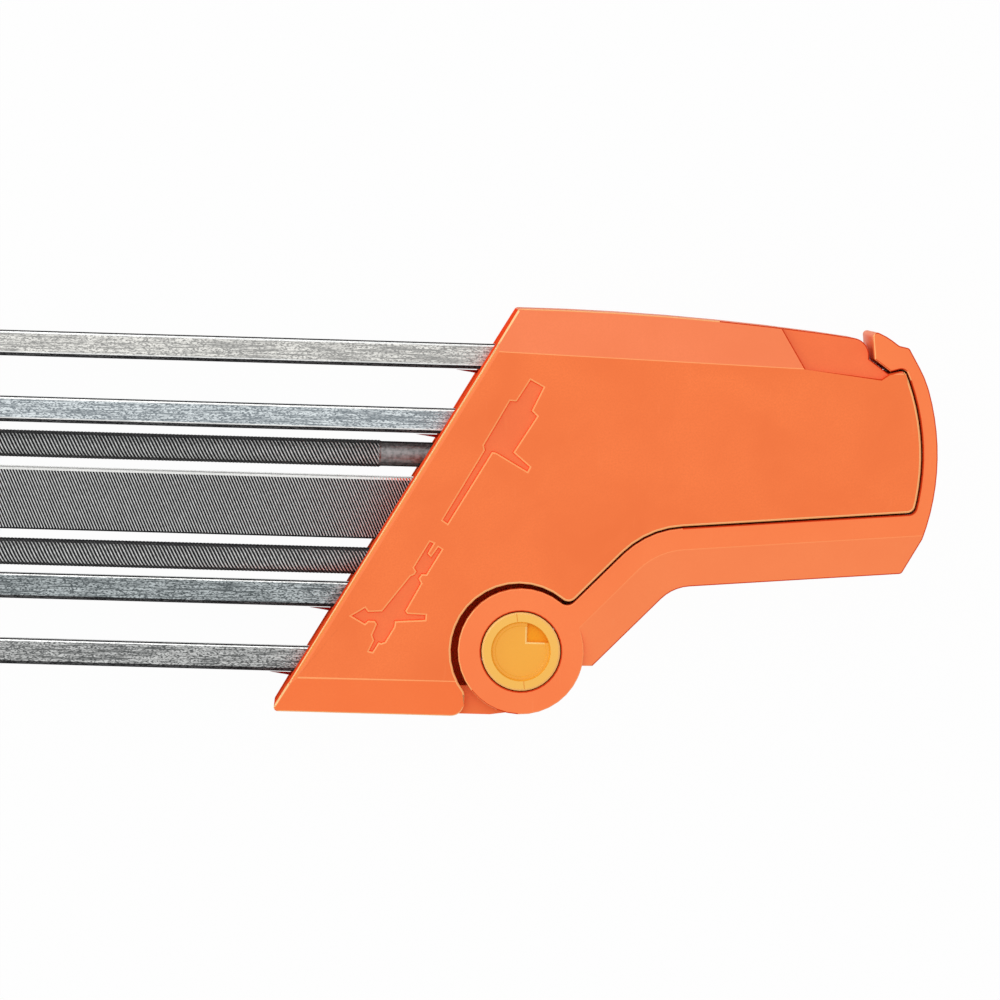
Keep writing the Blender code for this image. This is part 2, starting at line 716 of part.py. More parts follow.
def add_file_seats(shell, side):
    """A slot for half of the flat file, and a channel for the round file on this side."""
    half = FLAT_WIDTH / 2 + FILE_CLEARANCE
    span = FLAT_THICKNESS / 2 + FILE_CLEARANCE
    near, far = sorted((0, side.turn * (FILE_HALF_LENGTH + END_CLEARANCE)))
    section = rectangle(-half, half, MID - span, MID + span)
    cut(shell, bar(shell.name + "_flat_seat", section, near, far, CUTTERS))
    sign = 1 if side.front else -1
    radius = FILE_RADIUS + FILE_CLEARANCE
    centre = Vector((-sign * FILE_OFFSET, MID + sign * FILE_SINK))
    floor = arc(centre, radius, 0, sign * math.pi)
    mouth = Vector((0, -sign * (FILE_SINK + OVERRUN)))
    section = [*floor, floor[-1] + mouth, floor[0] + mouth]
    cut(shell, bar(shell.name + "_round_seat", section, near, far, CUTTERS))


# The pieces


def under_top(wall, block):
    """The inner line of the top wall, from the block to under the finger recess."""
    radius = TOP_RADIUS - wall
    nook = RECESS_START - 2 * RECESS_BACKING * ALONG
    return [
        line_leaves_circle(behind_slant(block, 0), SLANT_LINE, TOP_CENTRE, radius),
        line_leaves_circle(nook, UPWARD, TOP_CENTRE, radius),
        Vector((RECESS_START.x - RECESS_BACKING, RECESS_END.y - RECESS_BACKING)),
    ]


def make_lever_head_shell(name, side):
    """Half of the lever head. It is open along the seam, where the lever closes it."""
    shell = side.plate(name, lever_head_plan(), MID - PARTING_GAP / 2, 0, PARTS)
    top = under_top(SHELL_WALL, LEVER_HEAD_BLOCK)
    beyond = HEAD_REACH + OVERRUN
    below = -HEAD_HALF_WIDTH - OVERRUN
    hub = behind_slant(LEVER_HEAD_BLOCK, PIVOT.y)
    hollow = [
        *top,
        Vector((beyond, top[-1].y)),
        Vector((beyond, below)),
        Vector((hub.x, below)),
        hub,
    ]
    cut(shell, side.plate(name + "_hollow", hollow, MID + OVERRUN, RIM_DEPTH, CUTTERS))
    rim = -SEAM_GAP - RIM_WALL
    end_radius = SEAM_END_RADIUS + rim
    top = under_top(SHELL_WALL + FIT_GAP, LEVER_HEAD_BLOCK + FIT_GAP)
    end_top = line_leaves_circle(Vector((0, top[-1].y - FIT_GAP)), ALONG, END_CENTRE, end_radius)
    ring_clear = CUTOUT_RADIUS + RIM_WALL
    over_ring = CUTOUT_CENTRE + ring_clear * UPWARD
    pocket = [
        *top[:-1],
        top[-1] - FIT_GAP * UPWARD,
        *arc_to(END_CENTRE, end_top, grip_meets_end(rim, end_radius), FINE_ARC_STEP),
        knee(rim),
        on_diagonal(rim) + ring_clear * DIAGONAL,
        over_ring + FIT_GAP * ALONG,
        behind_slant(LEVER_HEAD_BLOCK + FIT_GAP, over_ring.y + RIM_WALL),
    ]
    cut(shell, side.plate(name + "_pocket", pocket, MID, SHELL_WALL, CUTTERS))
    add_ribs(shell, side)
    add_lug(shell, side)
    add_rail_seats(shell, side)
    add_file_seats(shell, side)
    cut(shell, top_facet(name, side), heel_facet(name, side, PIVOT_REACH))
    cut(shell, slant_chamfer(name, side), finger_recess(name, side))
    finish(shell, ORANGE_PLASTIC)


def add_ribs(shell, side):
    """Ribs behind the face, from the top wall down to just clear of the clamp's swing."""
    for i in range(HEAD_RIBS):
        foot = Vector((HEAD_RIB_REACH + i * HEAD_RIB_SPACING, HEAD_RIB_FOOT))
        top = line_leaves_circle(foot, UPWARD, TOP_CENTRE, TOP_RADIUS - SHELL_WALL / 2)
        across = HEAD_RIB_THICKNESS * ALONG
        outline = [foot, foot + across, top + across, top]
        depths = (MID - PARTING_GAP / 2, SHELL_WALL / 2)
        join(shell, side.plate(f"{shell.name}_rib_{i}", outline, *depths, CUTTERS))


def add_lug(shell, side):
    """The lug between the lever's rings, which carries the pivot pin. Its root and the floor of
    the gap round the ring stop a little short of the parting face."""
    depths = (MID - PARTING_GAP / 2, LUG_DEPTH)
    root_depths = (MID - PARTING_GAP, LUG_DEPTH)
    floor_depths = (MID - 3 * PARTING_GAP / 2, RING_GAP_FLOOR_DEPTH)
    left = CUTOUT_CENTRE.x - CUTOUT_RADIUS - SHELL_WALL
    foot = LUG_INSET - HEAD_HALF_WIDTH
    root_top = PIVOT.y - LUG_ROOT_DROP
    root = [
        Vector((left, foot)),
        Vector((PIVOT.x - LUG_TOE, foot)),
        Vector((PIVOT.x, PIVOT.y - LUG_RADIUS + FIT_GAP)),
        Vector((PIVOT.x, root_top)),
        Vector((left, root_top)),
    ]
    join(shell, side.plate(shell.name + "_lug_root", root, *root_depths, CUTTERS))
    floor_radius = CUTOUT_RADIUS + RIM_WALL / 2
    floor = arc(CUTOUT_CENTRE, floor_radius, RING_GAP_FLOOR_ANGLE, CUTOUT_END_ANGLE)
    join(shell, side.plate(shell.name + "_gap_floor", [*floor, PIVOT], *floor_depths, CUTTERS))
    at = side.place(PIVOT)
    join(shell, cylinder(shell.name + "_lug", LUG_RADIUS, *side.levels(*depths), at, CUTTERS))
    bore = PIN_RADIUS + PIN_PRESS_GAP
    cut(shell, cylinder(shell.name + "_bore", bore, 0, HEAD_THICKNESS, at, CUTTERS))


def make_fixed_head_shell(name, side):
    """Half of the fixed head, with a hollow behind the block that holds the sockets."""
    shell = side.plate(name, fixed_head_plan(), MID - PARTING_GAP / 2, 0, PARTS)
    end_radius = END_RADIUS - SHELL_WALL
    offset = LEVER_BAND - SHELL_WALL
    top_radius = TOP_RADIUS - SHELL_WALL
    shoulder = circles_cross(TOP_CENTRE, top_radius, END_CENTRE, end_radius)
    block = behind_slant(FIXED_HEAD_BLOCK, 0)
    block_top = line_leaves_circle(block, SLANT_LINE, TOP_CENTRE, top_radius)
    hollow = [
        *arc_to(TOP_CENTRE, block_top, shoulder, LONG_ARC_STEP),
        *arc_to(END_CENTRE, shoulder, grip_meets_end(offset, end_radius), FINE_ARC_STEP)[1:],
        knee(offset),
        lines_cross(block, SLANT_LINE, on_diagonal(offset), DIAGONAL),
    ]
    cut(shell, side.plate(name + "_hollow", hollow, MID + OVERRUN, SHELL_WALL, CUTTERS))
    add_rail_seats(shell, side)
    add_file_seats(shell, side)
    cut(shell, top_facet(name, side), heel_facet(name, side, PIVOT_REACH + 2 * RING_RADIUS))
    cut(shell, grip_facet(name, side, -2 * RING_RADIUS, 0), slant_chamfer(name, side))
    finish(shell, ORANGE_PLASTIC)


def make_clamp_lever():
    """The lever: a channel with a ring on each side of the lug, a hook and the file clamp."""
    side = LEVER_FRONT
    name = "clamp_lever"
    lever = side.plate(name, lever_plan(), LEVER_SINK, HEAD_THICKNESS - LEVER_SINK, PARTS)
    pivot = side.place(PIVOT)
    lever.data.transform(Matrix.Translation(-pivot.to_3d()))
    lever.location = pivot.to_3d()
    depth = LEVER_SINK + LEVER_CHEEK
    levels = (depth, HEAD_THICKNESS - depth)
    wall = LEVER_BAND - LEVER_WALL
    end_radius = SEAM_END_RADIUS - SEAM_GAP
    end = arc_to(END_CENTRE, grip_meets_end(wall, end_radius), END_CENTRE + end_radius * ALONG)
    channel = [PIVOT, on_diagonal(wall), knee(wall), *end, END_CENTRE]
    cut(lever, side.plate(name + "_channel", channel, *levels, CUTTERS))
    cut(lever, cylinder(name + "_relief", RING_RADIUS + RELIEF_GAP, *levels, pivot, CUTTERS))
    for i in range(LEVER_RIBS):
        join(lever, lever_rib(f"{name}_rib_{i}", side, LEVER_RIB_SET_BACK + i * LEVER_RIB_SPACING))
    web_levels = (MID - WEB_HALF_HEIGHT, MID + WEB_HALF_HEIGHT)
    join(lever, side.plate(name + "_web", web_plan(), *web_levels, CUTTERS))
    keep = cylinder(name + "_ring", RING_RADIUS, 0, HEAD_THICKNESS, pivot, CUTTERS)
    for face, facet_side in (("_front", LEVER_FRONT), ("_back", LEVER_BACK)):
        slope = grip_facet(name + face, facet_side, PIN_RADIUS / 2, LEVER_SINK)
        cut(slope, keep)
        cut(lever, slope)
    cut(lever, cylinder(name + "_bore", BORE_RADIUS, 0, HEAD_THICKNESS, pivot, CUTTERS))
    finish(lever, ORANGE_PLASTIC)


def lever_rib(name, side, set_back):
    """A rib across the lever's channel, square to the grip."""
    near = on_grip(LEVER_RIB_DROP) - set_back * GRIP
    far = on_grip(LEVER_BAND - LEVER_WALL / 2) - set_back * GRIP
    across = LEVER_RIB_THICKNESS * GRIP
    outline = [near, near - across, far - across, far]
    depth = LEVER_SINK + LEVER_CHEEK / 2
    return side.plate(name, outline, depth, HEAD_THICKNESS - depth, CUTTERS)


def web_plan():
    """The clamp: an upright face that presses on the ends of the three files."""
    near = FILE_SEAT + END_CLEARANCE
    top = FILE_OFFSET + FILE_RADIUS + WEB_OVERLAP
    rooted = on_diagonal(LEVER_BAND - LEVER_WALL / 2)
    feet = []
    for reach in (near, near + WEB_THICKNESS + WEB_FOOT):
        feet.append(lines_cross(rooted, DIAGONAL, Vector((reach, 0)), UPWARD))
    return [Vector((near, top)), Vector((near + WEB_THICKNESS, top)), feet[1], feet[0]]


def make_pivot_pin():
    """The hollow pin, with a dished head that has a quarter mark in it."""
    top = HEAD_THICKNESS - PIN_SINK
    dish = PIN_RADIUS - PIN_RIM
    floor_radius = dish - PIN_RIM_SLOPE
    pad = floor_radius - PIN_PAD_INSET
    bore = PIN_RADIUS - PIN_WALL
    low = CAP_DEPTH + FIT_GAP
    centre = LEVER_FRONT.place(PIVOT)
    pin = turned(
        "pivot_pin",
        [
            (0, top - PIN_DISH - PIN_PAD_DROP),
            (pad, top - PIN_DISH - PIN_PAD_DROP),
            (pad + PIN_PAD_DROP, top - PIN_DISH),
            (floor_radius, top - PIN_DISH),
            (dish, top),
            (PIN_RADIUS - PIN_EDGE, top),
            (PIN_RADIUS, top - PIN_EDGE),
            (PIN_RADIUS, low),
            (bore, low),
            (bore, top - PIN_FACE),
            (0, top - PIN_FACE),
        ],
        PARTS,
    )
    pin.location = centre.to_3d()
    mark_radius = (dish + floor_radius) / 2
    start = math.asin(PIN_MARK_RISE / mark_radius)
    end = math.acos(PIN_MARK_REACH / mark_radius)
    mark = [Vector((PIN_MARK_REACH, PIN_MARK_RISE)), *arc(Vector((0, 0)), mark_radius, start, end)]
    placed = [centre + point for point in mark]
    mark_floor = top - PIN_DISH - PIN_MARK_DEPTH
    cut(pin, plate("pivot_pin_mark", placed, mark_floor, top, CUTTERS))
    finish(pin, YELLOW_PLASTIC)


def make_pivot_cap():
    """The cap that closes the pin at the back, with a spigot in the pin's bore."""
    dish = PIN_RADIUS - PIN_RIM
    spigot = PIN_RADIUS - PIN_WALL - FIT_GAP
    cap = turned(
        "pivot_cap",
        [
            (0, CAP_DEPTH + CAP_SPIGOT),
            (spigot - PIN_EDGE, CAP_DEPTH + CAP_SPIGOT),
            (spigot, CAP_DEPTH + CAP_SPIGOT - PIN_EDGE),
            (spigot, CAP_DEPTH),
            (PIN_RADIUS, CAP_DEPTH),
            (PIN_RADIUS, PIN_SINK + PIN_EDGE),
            (PIN_RADIUS - PIN_EDGE, PIN_SINK),
            (dish, PIN_SINK),
            (dish - PIN_RIM_SLOPE, PIN_SINK + PIN_DISH),
            (0, PIN_SINK + PIN_DISH),
        ],
        PARTS,
    )
    cap.location = LEVER_FRONT.place(PIVOT).to_3d()
    finish(cap, YELLOW_PLASTIC)


def make_rail(name, offset):
    """A drawn steel rail with a hole near each end for the pegs of the shells."""
    half_width = RAIL_WIDTH / 2
    half = RAIL_THICKNESS / 2
    corners = rectangle(offset - half_width, offset + half_width, MID - half, MID + half)
    section = rounded([(corner, RAIL_EDGE) for corner in corners], COARSE_ARC_STEP)
    shift = offset * SLANT
    rail = bar(name, section, shift - RAIL_HALF_LENGTH, shift + RAIL_HALF_LENGTH, PARTS)
    for end, turn in (("left", -1), ("right", 1)):
        at = Vector((turn * (RAIL_HALF_LENGTH - RAIL_HOLE_FROM_END) + shift, offset))
        hole = f"{name}_{end}_hole"
        cut(rail, cylinder(hole, RAIL_HOLE_RADIUS, 0, HEAD_THICKNESS, at, CUTTERS, PEG_SIDES))
    finish(rail, RAIL_STEEL)


def make_round_file(name, turn):
    """A round file: toothed as far as a stop near the slanted face, then a plain shank."""
    stop = HALF_WINDOW - TEETH_STOP
    end = FILE_HALF_LENGTH
    made = turned(
        name,
        [
            (0, end),
            (SHANK_RADIUS - SHANK_TAPER, end),
            (SHANK_RADIUS, end - SHANK_TAPER),
            (SHANK_RADIUS, stop),
            (FILE_RADIUS, stop - (FILE_RADIUS - SHANK_RADIUS)),
            (FILE_RADIUS, TIP_CHAMFER - end),
            (FILE_RADIUS - TIP_CHAMFER, -end),
            (0, -end),
        ],
        PARTS,
    )
    made.location = (0, turn * FILE_OFFSET, MID - turn * FILE_SINK)
    made.rotation_euler = (0, turn * math.pi / 2, 0)
    finish(made, FILE_STEEL)


def make_flat_file():
    half_width = FLAT_WIDTH / 2
    half = FLAT_THICKNESS / 2
    corners = rectangle(-half_width, half_width, MID - half, MID + half)
    section = rounded([(corner, FLAT_EDGE) for corner in corners], COARSE_ARC_STEP)
    made = bar("flat_file", section, -FILE_HALF_LENGTH, FILE_HALF_LENGTH, PARTS)
    finish(made, FILE_STEEL)


make_lever_head_shell("lever_head_front_shell", LEVER_FRONT)
make_lever_head_shell("lever_head_back_shell", LEVER_BACK)
make_fixed_head_shell("fixed_head_front_shell", FIXED_FRONT)
make_fixed_head_shell("fixed_head_back_shell", FIXED_BACK)
make_clamp_lever()
make_pivot_pin()
make_pivot_cap()
for rail_name, rail_offset in RAILS:
    make_rail(rail_name, rail_offset)
make_round_file("round_file_top", 1)
make_round_file("round_file_bottom", -1)
make_flat_file()
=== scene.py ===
"""The looks of the chainsaw file guide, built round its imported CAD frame. Metres, +Z up."""

import math

import bmesh
import bpy
from mathutils import Matrix, Vector


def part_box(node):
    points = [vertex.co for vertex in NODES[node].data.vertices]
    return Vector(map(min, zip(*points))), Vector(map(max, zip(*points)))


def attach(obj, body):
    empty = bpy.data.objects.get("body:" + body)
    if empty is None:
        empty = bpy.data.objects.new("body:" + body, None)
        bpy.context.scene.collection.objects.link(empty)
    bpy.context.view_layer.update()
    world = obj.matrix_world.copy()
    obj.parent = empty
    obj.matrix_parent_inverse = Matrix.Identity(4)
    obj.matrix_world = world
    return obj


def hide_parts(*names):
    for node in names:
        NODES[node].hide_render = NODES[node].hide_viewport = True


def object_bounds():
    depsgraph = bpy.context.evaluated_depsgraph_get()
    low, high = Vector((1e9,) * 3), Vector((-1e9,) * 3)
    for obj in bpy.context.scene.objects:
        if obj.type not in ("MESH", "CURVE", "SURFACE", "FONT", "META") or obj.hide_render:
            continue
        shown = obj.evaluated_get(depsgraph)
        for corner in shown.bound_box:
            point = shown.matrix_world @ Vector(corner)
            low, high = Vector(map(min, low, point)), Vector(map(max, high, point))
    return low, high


MM = 0.001

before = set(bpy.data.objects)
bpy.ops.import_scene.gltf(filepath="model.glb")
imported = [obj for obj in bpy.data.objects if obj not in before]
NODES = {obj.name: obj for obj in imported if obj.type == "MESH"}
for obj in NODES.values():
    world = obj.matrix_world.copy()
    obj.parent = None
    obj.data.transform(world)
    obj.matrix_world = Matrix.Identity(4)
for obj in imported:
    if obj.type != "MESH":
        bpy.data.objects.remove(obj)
CAD_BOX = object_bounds()

# Camera

IMAGE_WIDTH = 1000
SENSOR_WIDTH = 36.0
VIEW_CENTRE = Vector((95.3, 2.017, 11.5)) * MM
VIEW_HEIGHT = 1100.0 * MM
VIEW_LEAN = Vector((-0.03, 0.05, 1.0))
VIEW_ROLL = 0.0282
VIEW_SCALE = 0.192 * MM
CLIP_START = 0.05
CLIP_END = 20.0


def make_camera():
    """A long lens that looks down on the lever head, as the photograph does."""
    data = bpy.data.cameras.new("camera")
    camera = bpy.data.objects.new("camera", data)
    bpy.context.scene.collection.objects.link(camera)
    bpy.context.scene.camera = camera
    back = VIEW_LEAN.normalized()
    right = (Vector((1, 0, 0)) - back * back.x).normalized()
    turn = Matrix.Rotation(VIEW_ROLL, 3, back)
    right = turn @ right
    upward = back.cross(right)
    axes = Matrix((right, upward, back)).transposed()
    camera.matrix_world = Matrix.Translation(VIEW_CENTRE + VIEW_HEIGHT * VIEW_LEAN) @ axes.to_4x4()
    data.sensor_width = SENSOR_WIDTH
    distance = VIEW_HEIGHT * VIEW_LEAN.length
    data.lens = distance / VIEW_SCALE * SENSOR_WIDTH / IMAGE_WIDTH
    data.clip_start = CLIP_START
    data.clip_end = CLIP_END


# Materials


class Paint:
    """A Principled material and the few nodes that the surfaces here are made of."""

    def __init__(self, name, **inputs):
        self.made = bpy.data.materials.new(name)
        self.made.use_nodes = True
        self.tree = self.made.node_tree
        self.shader = self.tree.nodes["Principled BSDF"]
        for key, value in inputs.items():
            self.shader.inputs[key.replace("_", " ")].default_value = value
        coordinates = self.tree.nodes.new("ShaderNodeTexCoord")
        self.place = coordinates.outputs["Object"]

    def stretched(self, scale):
        """Object coordinates, stretched by a factor along each axis."""
        mapping = self.tree.nodes.new("ShaderNodeMapping")
        mapping.inputs["Scale"].default_value = scale
        self.tree.links.new(self.place, mapping.inputs["Vector"])
        return mapping.outputs["Vector"]

    def noise(self, grain, detail=2.0, vector=None, distortion=0.0):
        """Noise whose lumps are about this wide, in metres."""
        node = self.tree.nodes.new("ShaderNodeTexNoise")
        node.inputs["Scale"].default_value = 1.0 / grain
        node.inputs["Detail"].default_value = detail
        node.inputs["Distortion"].default_value = distortion
        self.tree.links.new(vector or self.place, node.inputs["Vector"])
        return node.outputs["Fac"]

    def ramp(self, value, stops):
        """Colours or greys by position, for a value from 0 to 1."""
        node = self.tree.nodes.new("ShaderNodeValToRGB")
        elements = node.color_ramp.elements
        while len(elements) < len(stops):
            elements.new(0.5)
        for element, (position, colour) in zip(elements, stops):
            element.position = position
            rgb = colour if isinstance(colour, tuple) else (colour, colour, colour)
            element.color = (*rgb, 1.0)
        self.tree.links.new(value, node.inputs["Fac"])
        return node.outputs["Color"]

    def mix(self, factor, colour_a, colour_b, blend="MIX"):
        """Two colours mixed; each input is a constant or the output of a node."""
        node = self.tree.nodes.new("ShaderNodeMix")
        node.data_type = "RGBA"
        node.blend_type = blend
        inputs = ((node.inputs[0], factor), (node.inputs[6], colour_a), (node.inputs[7], colour_b))
        for socket, value in inputs:
            if isinstance(value, bpy.types.NodeSocket):
                self.tree.links.new(value, socket)
            elif isinstance(value, tuple):
                socket.default_value = (*value, 1.0)
            else:
                socket.default_value = value
        return node.outputs[2]

    def colour(self, value):
        self.tree.links.new(value, self.shader.inputs["Base Color"])

    def roughness(self, value):
        self.tree.links.new(value, self.shader.inputs["Roughness"])

    def bumps(self, *layers):
        """Bumps of these (height, strength, distance) layers, one on another."""
        normal = None
        for height, strength, distance in layers:
            node = self.tree.nodes.new("ShaderNodeBump")
            node.inputs["Strength"].default_value = strength
            node.inputs["Distance"].default_value = distance
            self.tree.links.new(height, node.inputs["Height"])
            if normal:
                self.tree.links.new(normal, node.inputs["Normal"])
            normal = node.outputs["Normal"]
        self.tree.links.new(normal, self.shader.inputs["Normal"])


def moulded_plastic(name, colour, shade, scuffed, roughness, gloss=0.5):
    """Moulded plastic: a fine grain, cloudy colour and the light scuffs of handling."""
    paint = Paint(name, Specular_IOR_Level=gloss)
    cloud = paint.noise(14.0 * MM, detail=3.0, distortion=0.4)
    speck = paint.noise(0.32 * MM, detail=3.0)
    scuff = paint.noise(1.1 * MM, detail=4.0, vector=paint.stretched((1.0, 0.12, 1.0)), distortion=0.6)
    clouds = paint.mix(paint.ramp(cloud, ((0.3, 0.0), (0.7, 1.0))), colour, shade)
    specks = paint.mix(paint.ramp(speck, ((0.35, 0.0), (0.65, 0.7))), clouds, shade)
    scuffs = paint.mix(paint.ramp(scuff, ((0.66, 0.0), (0.8, 0.22))), specks, scuffed)
    paint.colour(scuffs)
    paint.roughness(paint.ramp(cloud, ((0.3, roughness - 0.06), (0.7, roughness + 0.06))))
    grain = paint.noise(0.16 * MM, detail=2.0)
    paint.bumps((grain, 0.25, 0.03 * MM), (scuff, 0.15, 0.02 * MM))
    return paint.made


def drawn_steel(name, colour, dark, metallic=1.0, gloss=0.5):
    """Drawn steel: lines along the rail, fine flecks, and a dull patch here and there."""
    paint = Paint(name, Metallic=metallic, Specular_IOR_Level=gloss)
    line = paint.noise(0.22 * MM, detail=3.0, vector=paint.stretched((0.04, 1.0, 1.0)))
    fleck = paint.noise(0.17 * MM, detail=3.0, vector=paint.stretched((0.38, 1.0, 1.0)))
    patch = paint.noise(5.0 * MM, detail=4.0, vector=paint.stretched((0.4, 1.0, 1.0)))
    lines = paint.mix(paint.ramp(line, ((0.36, 0.1), (0.56, 1.0))), dark, colour)
    flecks = paint.mix(paint.ramp(fleck, ((0.42, 0.0), (0.54, 1.0))), dark, lines)
    patches = paint.mix(paint.ramp(patch, ((0.5, 0.0), (0.75, 0.3))), flecks, dark)
    paint.colour(patches)
    paint.roughness(paint.ramp(fleck, ((0.3, 0.34), (0.7, 0.2))))
    paint.bumps((line, 0.2, 0.02 * MM))
    return paint.made


def file_steel(name, colour, dark, metallic=0.9, gloss=0.5):
    """Hardened file steel: dark, with a mottled skin."""
    paint = Paint(name, Metallic=metallic, Specular_IOR_Level=gloss)
    mottle = paint.noise(0.7 * MM, detail=5.0)
    cloud = paint.noise(9.0 * MM, detail=2.0)
    mottles = paint.mix(paint.ramp(mottle, ((0.35, 0.0), (0.65, 1.0))), dark, colour)
    paint.colour(paint.mix(paint.ramp(cloud, ((0.35, 0.0), (0.7, 0.3))), mottles, dark))
    paint.roughness(paint.ramp(mottle, ((0.3, 0.38), (0.7, 0.5))))
    paint.bumps((mottle, 0.3, 0.02 * MM))
    return paint.made


ORANGE = moulded_plastic(
    "orange_plastic", (0.96, 0.188, 0.03), (0.87, 0.155, 0.021), (1.0, 0.25, 0.07), 0.5
)
# The lever's own lighter orange, used also as a softer painted highlight on the chamfer by the slanted
# wall.
ORANGE_LEVER_TONE_AND_SHEEN = moulded_plastic(
    "orange_lever_tone_and_sheen", (0.97, 0.21, 0.045), (0.94, 0.19, 0.04), (1.0, 0.28, 0.09), 0.52
)
# Painted sheen: a pinker orange for the lever's sloping facets and the heads' upward facets, and a
# brighter orange, painted light, for the heads' downward facets.
ORANGE_SLOPE_SHEEN = moulded_plastic(
    "orange_slope_sheen", (1.0, 0.235, 0.06), (0.97, 0.215, 0.055), (1.0, 0.3, 0.1), 0.52
)
ORANGE_TOP_SHEEN = moulded_plastic(
    "orange_top_sheen", (0.95, 0.215, 0.067), (0.9, 0.195, 0.057), (1.0, 0.3, 0.1), 0.52
)
ORANGE_HEEL_LIT = moulded_plastic(
    "orange_heel_lit", (1.0, 0.186, 0.028), (0.97, 0.17, 0.025), (1.0, 0.26, 0.07), 0.5
)
# Painted highlights: light lines on the rounded edges, along the slant and the seam, on faint creases
# and round the pictograms.
ORANGE_EDGE_HIGHLIGHT = moulded_plastic(
    "orange_edge_highlight", (1.0, 0.5, 0.19), (1.0, 0.42, 0.14), (1.0, 0.68, 0.36), 0.42
)
ORANGE_HIGHLIGHT_LINE = moulded_plastic("orange_highlight_line", (1.0, 0.66, 0.3), (1.0, 0.58, 0.24), (1.0, 0.8, 0.5), 0.42)
ORANGE_FAINT_HIGHLIGHT = moulded_plastic(
    "orange_faint_highlight", (1.0, 0.29, 0.085), (1.0, 0.26, 0.07), (1.0, 0.4, 0.15), 0.45
)
ORANGE_MARK_HIGHLIGHT = moulded_plastic("orange_mark_highlight", (1.0, 0.38, 0.12), (1.0, 0.33, 0.1), (1.0, 0.5, 0.2), 0.45)
# Painted shade: on edges facing away from the light, the ring gap's floor, recess floors and parting
# faces.
ORANGE_PAINTED_SHADE = moulded_plastic(
    "orange_painted_shade", (0.74, 0.068, 0.014), (0.68, 0.055, 0.012), (0.85, 0.12, 0.03), 0.55, gloss=0.0
)
ORANGE_RECESS_SHADE = moulded_plastic(
    "orange_recess_shade", (0.97, 0.174, 0.036), (0.88, 0.146, 0.028), (1.0, 0.24, 0.06), 0.5
)
ORANGE_FOOT_SHADE = moulded_plastic(
    "orange_foot_shade", (0.76, 0.094, 0.018), (0.7, 0.08, 0.015), (0.9, 0.15, 0.04), 0.5, gloss=0.2
)
# Painted sheen: a yellower orange for chamfer faces by the slanted wall.
ORANGE_WARM_SHEEN = moulded_plastic(
    "orange_warm_sheen", (0.88, 0.235, 0.023), (0.85, 0.21, 0.02), (1.0, 0.34, 0.08), 0.45
)
# Painted shade: red for the slanted walls and the sides of shallow recesses, deep red for the lips
# under the rails.
ORANGE_WALL_SHADE = moulded_plastic(
    "orange_wall_shade", (1.0, 0.09, 0.022), (0.94, 0.07, 0.016), (1.0, 0.14, 0.04), 0.6, gloss=0.0
)
ORANGE_DEEP_SHADE = moulded_plastic(
    "orange_deep_shade", (0.34, 0.01, 0.005), (0.24, 0.006, 0.004), (0.5, 0.03, 0.01), 0.6, gloss=0.0
)
YELLOW = moulded_plastic(
    "yellow_plastic", (0.92, 0.41, 0.03), (0.89, 0.38, 0.024), (0.97, 0.5, 0.08), 0.42
)
YELLOW_EDGE = moulded_plastic(
    "yellow_edge", (0.93, 0.5, 0.09), (0.9, 0.47, 0.07), (1.0, 0.62, 0.2), 0.36
)
# Painted shade for the floor of the pin's quarter mark.
YELLOW_FLOOR_SHADE = moulded_plastic(
    "yellow_floor_shade", (0.96, 0.38, 0.016), (0.9, 0.33, 0.012), (0.97, 0.46, 0.04), 0.5, gloss=0.1
)
# Painted highlight lines on the quarter mark's edges and the rim's outer edge.
YELLOW_HIGHLIGHT_LINE = moulded_plastic("yellow_highlight_line", (1.0, 0.62, 0.2), (0.98, 0.57, 0.16), (1.0, 0.7, 0.3), 0.4)
# The top two rails are painted lighter and the lower two darker, a painted reflection; then steels for
# painted highlight bands and painted shade.
RAIL_LIT_WARM = drawn_steel("lit_warm_rail_steel", (0.93, 0.92, 0.87), (0.3, 0.3, 0.29))
RAIL_LIT_COOL = drawn_steel("lit_cool_rail_steel", (0.8, 0.86, 0.88), (0.2, 0.23, 0.25))
RAIL_SHADED_COOL = drawn_steel("shaded_cool_rail_steel", (0.56, 0.61, 0.62), (0.09, 0.105, 0.11))
RAIL_SHADED_GREY = drawn_steel("shaded_grey_rail_steel", (0.65, 0.66, 0.65), (0.1, 0.105, 0.105))
RAIL_HIGHLIGHT = drawn_steel("highlight_rail_steel", (1.0, 1.0, 0.98), (0.7, 0.71, 0.7))
RAIL_SHADE = drawn_steel(
    "shaded_rail_steel", (0.09, 0.09, 0.092), (0.01, 0.01, 0.011), metallic=0.0, gloss=0.0
)
FILE = file_steel("file_steel", (0.38, 0.37, 0.37), (0.16, 0.155, 0.155))
# Painted shade for the sides of the round files, half and then full.
FILE_HALF_SHADE = file_steel(
    "half_shaded_file_steel", (0.14, 0.137, 0.137), (0.05, 0.049, 0.049), metallic=0.0, gloss=0.0
)
FILE_SHADE = file_steel(
    "shaded_file_steel", (0.035, 0.035, 0.036), (0.015, 0.015, 0.016), metallic=0.0, gloss=0.0
)
# Painted shade in the tooth roots, painted highlights on the tooth lands.
TOOTH_ROOT_SHADE = file_steel(
    "tooth_root_shade", (0.035, 0.036, 0.038), (0.015, 0.015, 0.017), metallic=0.0, gloss=0.1
)
TOOTH_LAND_HIGHLIGHT = file_steel("tooth_land_highlight", (0.76, 0.77, 0.76), (0.55, 0.56, 0.55), metallic=0.35)
ROUND_LAND_HIGHLIGHT = file_steel("round_tooth_land_highlight", (0.77, 0.78, 0.77), (0.44, 0.45, 0.44), metallic=0.35)
# Painted highlight for the flat file's top edge.
FILE_HIGHLIGHT = drawn_steel("file_edge_highlight", (1.0, 1.0, 0.98), (0.8, 0.8, 0.78))


# Pieces made from the CAD nodes

